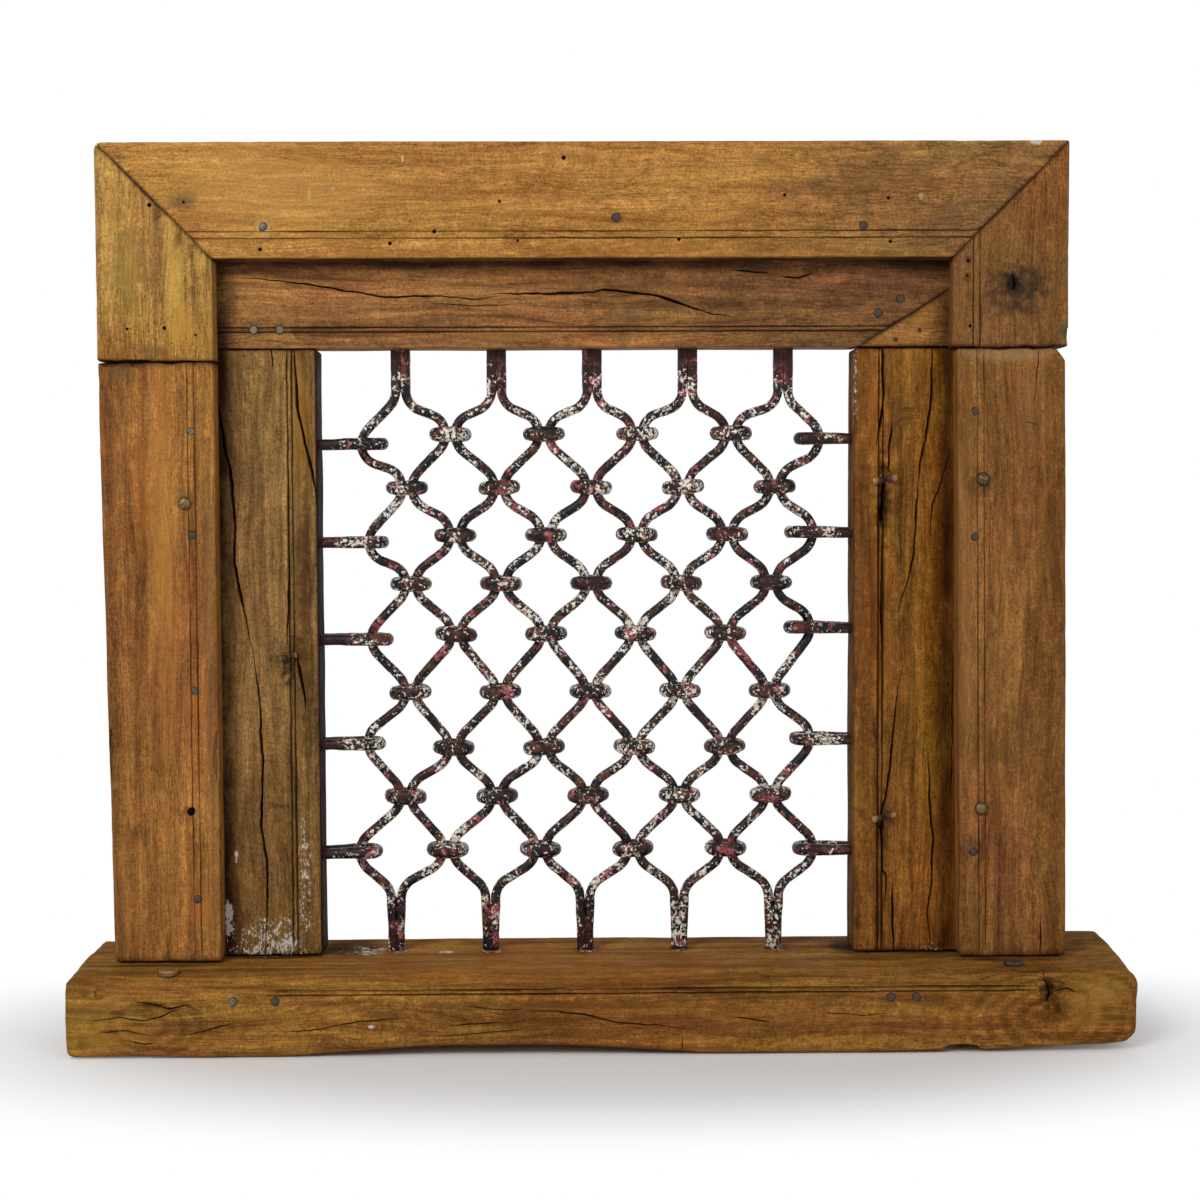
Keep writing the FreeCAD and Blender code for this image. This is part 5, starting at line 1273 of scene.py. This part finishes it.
class OBJECT_OT_jali_bars(bpy.types.Operator):
    """Builds the ten wavy bars of the grille"""
    bl_idname = "object.jali_bars"
    bl_label = "Grille bars"

    step: length("Step", "Spacing of the rings along a bar", 2.5 * MM)

    def execute(self, context):
        flaked_paint(context.scene.jali_iron)
        rows = {row: [middle(box) for box in solids(f"collars_row_{row}")] for row in range(1, ROWS)}
        half = pair_half()
        for number in range(1, 2 * PAIRS + 1):
            column, side = (number - 1) // 2, -1 if number % 2 else 1
            node = f"grille_bar_{number}"
            radius = (highest(node).y - lowest(node).y) / 2
            foot, head = bar_end(number, False), bar_end(number, True)
            knots = [Vector((foot.x, GRILLE, SILL_TOP + FOOT_RUN))]
            for row in range(ROWS - 1, 0, -1):
                neighbour = column + (side - 1) // 2
                if row % 2 == 0:
                    knots.append(rows[row][column] + X * side * half)
                elif 0 <= neighbour < PAIRS - 1:
                    knots.append(rows[row][neighbour] - X * side * half)
                else:
                    knots.append(tie_bar("left" if side < 0 else "right", (row + 1) // 2)[0])
            knots.append(Vector((head.x, GRILLE, OPEN_TOP - TOP_RUN)))
            path = [foot] + line(foot, knots[0], self.step)
            for start, end in zip(knots, knots[1:]):
                path += s_bend(start, end, self.step)
            path += line(knots[-1], head, self.step)
            for place in path:
                spread = 1 - smooth_step(place.z, SILL_TOP + 12 * MM, knots[0].z + 4 * MM)
                place.x -= side * 1.3 * MM * spread

            def ring(step):
                place = path[step]
                pressed = smooth_step(place.z, knots[-1].z - 8 * MM, knots[-1].z + 4 * MM)
                foot_swell = 0.05 * (1 - smooth_step(place.z, knots[0].z - 10 * MM, knots[0].z + 10 * MM))
                swell = 0.98 + 0.04 * rough(place, 25 * MM, number) + 0.06 * pressed + foot_swell
                return round_ring(radius * swell, 16, square=0.75 * pressed)

            bm = sweep(path, -Y, ring)
            hammered(bm, context.scene.jali_wear.hammer, number)
            # Fewer flecks towards the top, where the bars run under the inner header: partly painted shade
            painted_piece(node, bm, lambda point: smooth_step(point.z, OPEN_TOP - 30 * MM, OPEN_TOP - 8 * MM))
        return {"FINISHED"}


class OBJECT_OT_jali_collars(bpy.types.Operator):
    """Builds the rows of collars that clasp the bars"""
    bl_idname = "object.jali_collars"
    bl_label = "Collars"

    step: length("Step", "Spacing of the rings along a collar", 1.5 * MM)
    tilt: FloatProperty(name="Tilt", description="Greatest slant of a collar", subtype="ANGLE",
                        default=math.radians(5))
    taper: FloatProperty(name="Taper", description="How much a collar narrows towards its ends", default=0.14,
                         subtype="FACTOR", min=0, max=0.6)

    def execute(self, context):
        half = pair_half()
        corner = X * half
        for row in range(1, ROWS):
            bm = bmesh.new()
            for number, (low, high) in enumerate(solids(f"collars_row_{row}")):
                seed = row * 10 + number
                centre = (low + high) / 2
                out = (high.y - low.y - COLLAR_WALL) / 2
                tall = (high.z - low.z) / COLLAR_WALL
                path = []
                for way in (1, -1):
                    side, end = centre - Y * out * way, corner * way
                    path += line(side - end, side + end, self.step)
                    path += arc(centre + end, 0, math.pi, out, -Y * way, X * way, 16)

                def ring(step):
                    away = abs(path[step].x - centre.x) / (half + out)
                    narrow = self.taper * (1 + 0.5 * rough(centre, 30 * MM, seed))
                    end = 1 - narrow * smooth_step(away, 0.5, 1)
                    return round_ring(COLLAR_WALL / 2 * 0.98, 16, tall * end)

                one = sweep(path, Z, ring, closed=True)
                slant = Matrix.Rotation(self.tilt * rough(centre, 17 * MM, seed + 3) * 1.6, 4, "Y")
                turn = Matrix.Translation(centre) @ slant @ Matrix.Translation(-centre)
                bmesh.ops.transform(one, matrix=turn, verts=one.verts)
                hammered(one, context.scene.jali_wear.hammer * 1.6, seed)
                merge(bm, one)
            painted_piece(f"collars_row_{row}", bm, lambda point: 0.0)
        return {"FINISHED"}


# How far the loop of each tie reaches past its bar, from the top, in millimetres
LOOPS = {"left": (10, 4, 6, 2, 7), "right": (9, 12, 10, 5, 5)}


class OBJECT_OT_jali_ties(bpy.types.Operator):
    """Builds the ties between the outer bars and the stiles"""
    bl_idname = "object.jali_ties"
    bl_label = "Ties"

    step: length("Step", "Spacing of the rings along a tie", 2.5 * MM)

    def execute(self, context):
        for side, out, opening in (("left", -1, OPEN_LEFT), ("right", 1, OPEN_RIGHT)):
            for number, reach in enumerate(LOOPS[side], 1):
                node = f"{side}_tie_{number}"
                bar, radius, leg = tie_bar(side, number)
                root = Vector((lowest(node).x if out < 0 else highest(node).x, bar.y, bar.z))
                loop = bar - X * out * reach * MM
                path = [root - Y * leg]
                path += line(path[0], loop - Y * leg, self.step)
                path += arc(loop, 0, math.pi, leg, -Y, -X * out, 14)
                path += line(path[-1], root + Y * leg, self.step)
                droop = rough(bar, 40 * MM, number) * 1.6 * MM
                for place in path:
                    place.z += droop * smooth_step(-out * place.x, -out * opening, -out * bar.x)

                def ring(step):
                    place = path[step]
                    beaten = smooth_step(-out * place.x, -out * opening, -out * loop.x)
                    swell = 1 + 0.05 * rough(place, 12 * MM, number)
                    return round_ring(radius * swell, 14, 1 + 0.18 * beaten)

                bm = sweep(path, Z, ring)
                hammered(bm, context.scene.jali_wear.hammer, number + 40)
                # Fewer flecks near the stiles: partly painted shade
                painted_piece(node, bm, lambda point: smooth_step(abs(point.x - opening), 22 * MM, 4 * MM))
        return {"FINISHED"}


# Fasteners

# Roundness of the heads, their width beside that of the solids, and how bright each is rubbed, in the order
# of the solids
HEADS = {
    "header_nails": (0.3, 0.84, (0.4, 0.05, 0.0)),
    "left_post_nails": (0.3, 0.76, (0.2, 0.25, 0.15, 0.35)),
    "right_post_nails": (0.3, 0.76, (0.05, 0.1, 0.15)),
    "inner_header_pins": (0.2, 0.88, (0.45, 0.38, 0.1, 0.15)),
    "sill_pins": (0.2, 0.88, (0.35, 0.0, 0.0, 0.1)),
    "wedge_brads": (0.3, 0.5, (0.05, 0.1)),
    "domed_nails": (1.0, 0.94, (0.4, 0.36, 0.3)),
}


class OBJECT_OT_jali_nails(bpy.types.Operator):
    """Builds the nails, pins, brads and spikes"""
    bl_idname = "object.jali_nails"
    bl_label = "Nails and pins"

    shank: length("Shank", "Length of a shank that is kept in the wood", 12 * MM)

    def head(self, radius, roundness):
        """Profile of a nail with a flat or a domed head."""
        tall = 4.4 * MM if roundness == 1 else 1.6 * MM
        sunk = 0.25 * MM
        crown = [(radius * math.sin(angle), -sunk - tall * roundness * (1 - math.cos(angle)))
                 for angle in (0, 0.35, 0.7, 1.05, 1.35, math.pi / 2)]
        below = -sunk - tall - 0.8 * MM
        return crown + [(radius * 0.96, below), (radius * 0.5, below), (radius * 0.5, -self.shank),
                        (0, -self.shank)]

    def spike(self, radius):
        """Profile of a spike with a beaten head."""
        outline = ((0, 1.9), (0.35, 1.5), (0.62, 0.4), (0.9, 0.9), (1, 2.2), (0.9, 5), (0.4, 6))
        return [(radius * share, -depth * MM) for share, depth in outline] + [
            (radius * 0.4, -self.shank), (0, -self.shank)]

    def group(self, node, nails, dents, seed, material, levels):
        """Joins nails, each a profile, a place and an axis, and gives each head its own brightness."""
        bm = bmesh.new()
        for number, nail in enumerate(nails):
            one = turned(*nail)
            hammered(one, dents, number + seed)
            merge(bm, one)
        piece = new_piece(node, bm, material)
        rubbed = []
        for vert in piece.data.vertices:
            away = [(vert.co - place).length_squared for profile, place, axis in nails]
            rubbed.append(levels[away.index(min(away)) % len(levels)])
        set_attribute(piece.data, "rubbed", rubbed)

    def execute(self, context):
        iron = context.scene.jali_iron
        grey = rubbed_iron("rubbed_nail_iron", iron.nail, iron.rubbed)
        dome = rubbed_iron("rubbed_domed_nail_iron", iron.staple, iron.dome, 0.7, (0.5, 0.3))
        brown = rubbed_iron("rubbed_staple_iron", iron.staple, iron.copper)
        for node, (roundness, width, levels) in HEADS.items():
            nails = []
            for low, high in solids(node):
                place = Vector(((low.x + high.x) / 2, low.y, (low.z + high.z) / 2))
                nails.append((self.head((high.x - low.x) / 2 * width, roundness), place, -Y))
            self.group(node, nails, 0.2 * MM, len(node), dome if roundness == 1 else grey, levels)
        spikes = []
        for low, high in solids("sill_spikes"):
            place = Vector(((low.x + high.x) / 2, (low.y + high.y) / 2, high.z))
            spikes.append((self.spike((high.x - low.x) / 2), place, Z))
        self.group("sill_spikes", spikes, 0.6 * MM, 60, brown, (0.55, 0.2))
        return {"FINISHED"}


class OBJECT_OT_jali_staples(bpy.types.Operator):
    """Builds the split staples with their eyes at the back"""
    bl_idname = "object.jali_staples"
    bl_label = "Staples"

    bend: length("Bend", "Radius of the bends at the front", 4 * MM)
    eye: length("Eye", "Radius of the eye at the back", 8 * MM)

    def execute(self, context):
        brown = bpy.data.materials["rubbed_staple_iron"]
        legs = {"latch_staple": (7.5 * MM, (-16,)), "hinge_staples": (10.5 * MM, (-13, -9))}
        for node, (tip, slants) in legs.items():
            bm = bmesh.new()
            for number, (low, high) in enumerate(solids(node)):
                radius = (high.z - low.z) / 2
                half = radius + SAW_GAP
                front = low.y + radius
                eye_y = high.y - radius - self.eye
                bend_x = half + self.bend
                right = [Vector((tip, front, 0))]
                right += line(right[0], Vector((bend_x, front, 0)), 1 * MM)
                right += arc(Vector((bend_x, front + self.bend, 0)), 0, math.pi / 2, self.bend, -Y, -X, 5)
                turn = math.acos(half / self.eye)
                right += line(right[-1], Vector((half, eye_y - self.eye * math.sin(turn), 0)), 4 * MM)
                loop = arc(Vector((0, eye_y, 0)), -turn, math.pi + turn, self.eye, X, Y, 28)
                path = right + loop[:-1] + [Vector((-place.x, place.y, 0)) for place in reversed(right)]
                last = len(path) - 1

                def ring(step):
                    blunt = smooth_step(min(step, last - step), -1, 2)
                    beaten = 1 - smooth_step(path[step].y, front + radius, front + 3 * radius)
                    return round_ring(radius * (0.7 + 0.28 * blunt), 12, 1 + 0.4 * beaten)

                one = sweep(path, Z, ring)
                slant = Matrix.Rotation(math.radians(slants[number]), 3, "Y")
                place = at(middle((low, high)).x, (low.z + high.z) / 2)
                for vert in one.verts:
                    share = 1 - smooth_step(vert.co.y, front + radius, front + 4 * radius)
                    vert.co = vert.co.lerp(slant @ vert.co, share) + place
                hammered(one, 0.35 * MM, number + 80)
                merge(bm, one)
            piece = new_piece(node, bm, brown)
            centres = [middle(box).x for box in solids(node)]
            ends = [min(abs(vert.co.x - x) for x in centres) for vert in piece.data.vertices]
            set_attribute(piece.data, "rubbed", [0.6 * smooth_step(end, 4 * MM, 8 * MM) for end in ends])
        return {"FINISHED"}


# Stage

CAMERA_PLACE = Vector((-25.0, -1766.5, 472.7)) * MM
CAMERA_PITCH = 3.064
CAMERA_YAW = 0.772
CAMERA_ROLL = 0.231
SENSOR_WIDTH = 36
LAMP_TARGET = Vector((0, 0, 0.4))
# Rays beside those of the camera that see pure white
CLEAR_RAYS = ("Is Glossy Ray", "Is Transmission Ray")
WHITE = (1, 1, 1, 1)
PAPER = (0.94, 0.94, 0.94, 1)


class OBJECT_OT_jali_stage(bpy.types.Operator):
    """Builds the floor, the light and the camera"""
    bl_idname = "object.jali_stage"
    bl_label = "Stage"

    def floor(self):
        """A pale floor that fades to white away from the object."""
        bm = bmesh.new()
        bmesh.ops.create_circle(bm, cap_ends=True, segments=64, radius=5)
        floor = new_object("floor", made_mesh(bm, "floor"))
        material, add = new_material("white_paper_floor")
        place = add("TexCoord", out="Object")
        near = add("Mapping", {"Vector": place, "Scale": (0.75, 1.6, 1)})
        away = add("VectorMath", (near,), out="Value", operation="LENGTH")
        fade = add("MapRange", (away, 0.25, 0.55), interpolation_type="SMOOTHSTEP")
        rays = add("LightPath").node.outputs
        seen = add("Math", (rays["Is Camera Ray"], fade), operation="MULTIPLY")
        for ray in CLEAR_RAYS:
            seen = add("Math", (seen, rays[ray]), operation="MAXIMUM")
        paper = add("BsdfDiffuse", {"Color": PAPER})
        white = add("Emission", {"Color": WHITE, "Strength": 1})
        add("OutputMaterial", {"Surface": add("MixShader", (seen, paper, white))})
        floor.data.materials.append(material)

    def lamp(self, name, place, size, power):
        """A round lamp that points at the middle of the window."""
        data = bpy.data.lights.new(name, "AREA")
        data.shape = "DISK"
        data.size = size
        data.energy = power
        lamp = new_object(name, data)
        lamp.location = place
        lamp.rotation_euler = (LAMP_TARGET - place).to_track_quat("-Z", "Y").to_euler()

    def sky(self, strength):
        """Even light from all round, white where the camera sees it."""
        world = bpy.data.worlds.new("studio")
        world.use_nodes = True
        world.node_tree.nodes.clear()
        add = functools.partial(wire, world.node_tree)
        rays = add("LightPath").node.outputs
        seen = rays["Is Camera Ray"]
        for ray in CLEAR_RAYS:
            seen = add("Math", (seen, rays[ray]), operation="MAXIMUM")
        level = add("MapRange", (seen, 0, 1, strength, 1))
        add("OutputWorld", {"Surface": add("Background", {"Color": WHITE, "Strength": level})})
        bpy.context.scene.world = world

    def execute(self, context):
        scene = context.scene
        stage = scene.jali_stage
        self.floor()
        self.lamp("key", Vector((-1.3, -2.0, 1.8)), 1.2, stage.key)
        self.lamp("fill", Vector((1.7, -1.9, 1.2)), 1.6, stage.fill)
        self.lamp("back", Vector((0.7, 2.4, 1.5)), 2.5, stage.back)
        self.sky(stage.sky)
        data = bpy.data.cameras.new("camera")
        data.sensor_width = SENSOR_WIDTH
        data.lens = stage.lens
        camera = new_object("camera", data)
        camera.location = CAMERA_PLACE
        turns = (90 - CAMERA_PITCH, CAMERA_ROLL, -CAMERA_YAW)
        camera.rotation_euler = [math.radians(turn) for turn in turns]
        scene.camera = camera
        scene.view_settings.view_transform = "Standard"
        return {"FINISHED"}


STEPS = (
    OBJECT_OT_jali_outer_frame,
    OBJECT_OT_jali_inner_frame,
    OBJECT_OT_jali_sill,
    OBJECT_OT_jali_bars,
    OBJECT_OT_jali_collars,
    OBJECT_OT_jali_ties,
    OBJECT_OT_jali_nails,
    OBJECT_OT_jali_staples,
    OBJECT_OT_jali_stage,
)
GROUPS = {"jali_teak": JaliTeak, "jali_iron": JaliIron, "jali_wear": JaliWear, "jali_stage": JaliStage}


class VIEW3D_PT_jali_window(bpy.types.Panel):
    """Lists the settings and the steps of the window"""
    bl_idname = "VIEW3D_PT_jali_window"
    bl_label = "Jali window"
    bl_space_type = "VIEW_3D"
    bl_region_type = "UI"
    bl_category = "Jali window"

    def draw(self, context):
        for step in STEPS:
            self.layout.operator(step.bl_idname)
        for name, group in GROUPS.items():
            column = self.layout.column(heading=group.__doc__)
            for setting in group.__annotations__:
                column.prop(getattr(context.scene, name), setting)


def register():
    for group in GROUPS.values():
        bpy.utils.register_class(group)
    for name, group in GROUPS.items():
        setattr(bpy.types.Scene, name, PointerProperty(type=group))
    for step in STEPS:
        bpy.utils.register_class(step)
    bpy.utils.register_class(VIEW3D_PT_jali_window)


def unregister():
    bpy.utils.unregister_class(VIEW3D_PT_jali_window)
    for step in reversed(STEPS):
        bpy.utils.unregister_class(step)
    for name, group in GROUPS.items():
        delattr(bpy.types.Scene, name)
        bpy.utils.unregister_class(group)


def main():
    register()
    for step in STEPS:
        family, name = step.bl_idname.split(".")
        getattr(getattr(bpy.ops, family), name)()


if __name__ == "__main__":
    main()
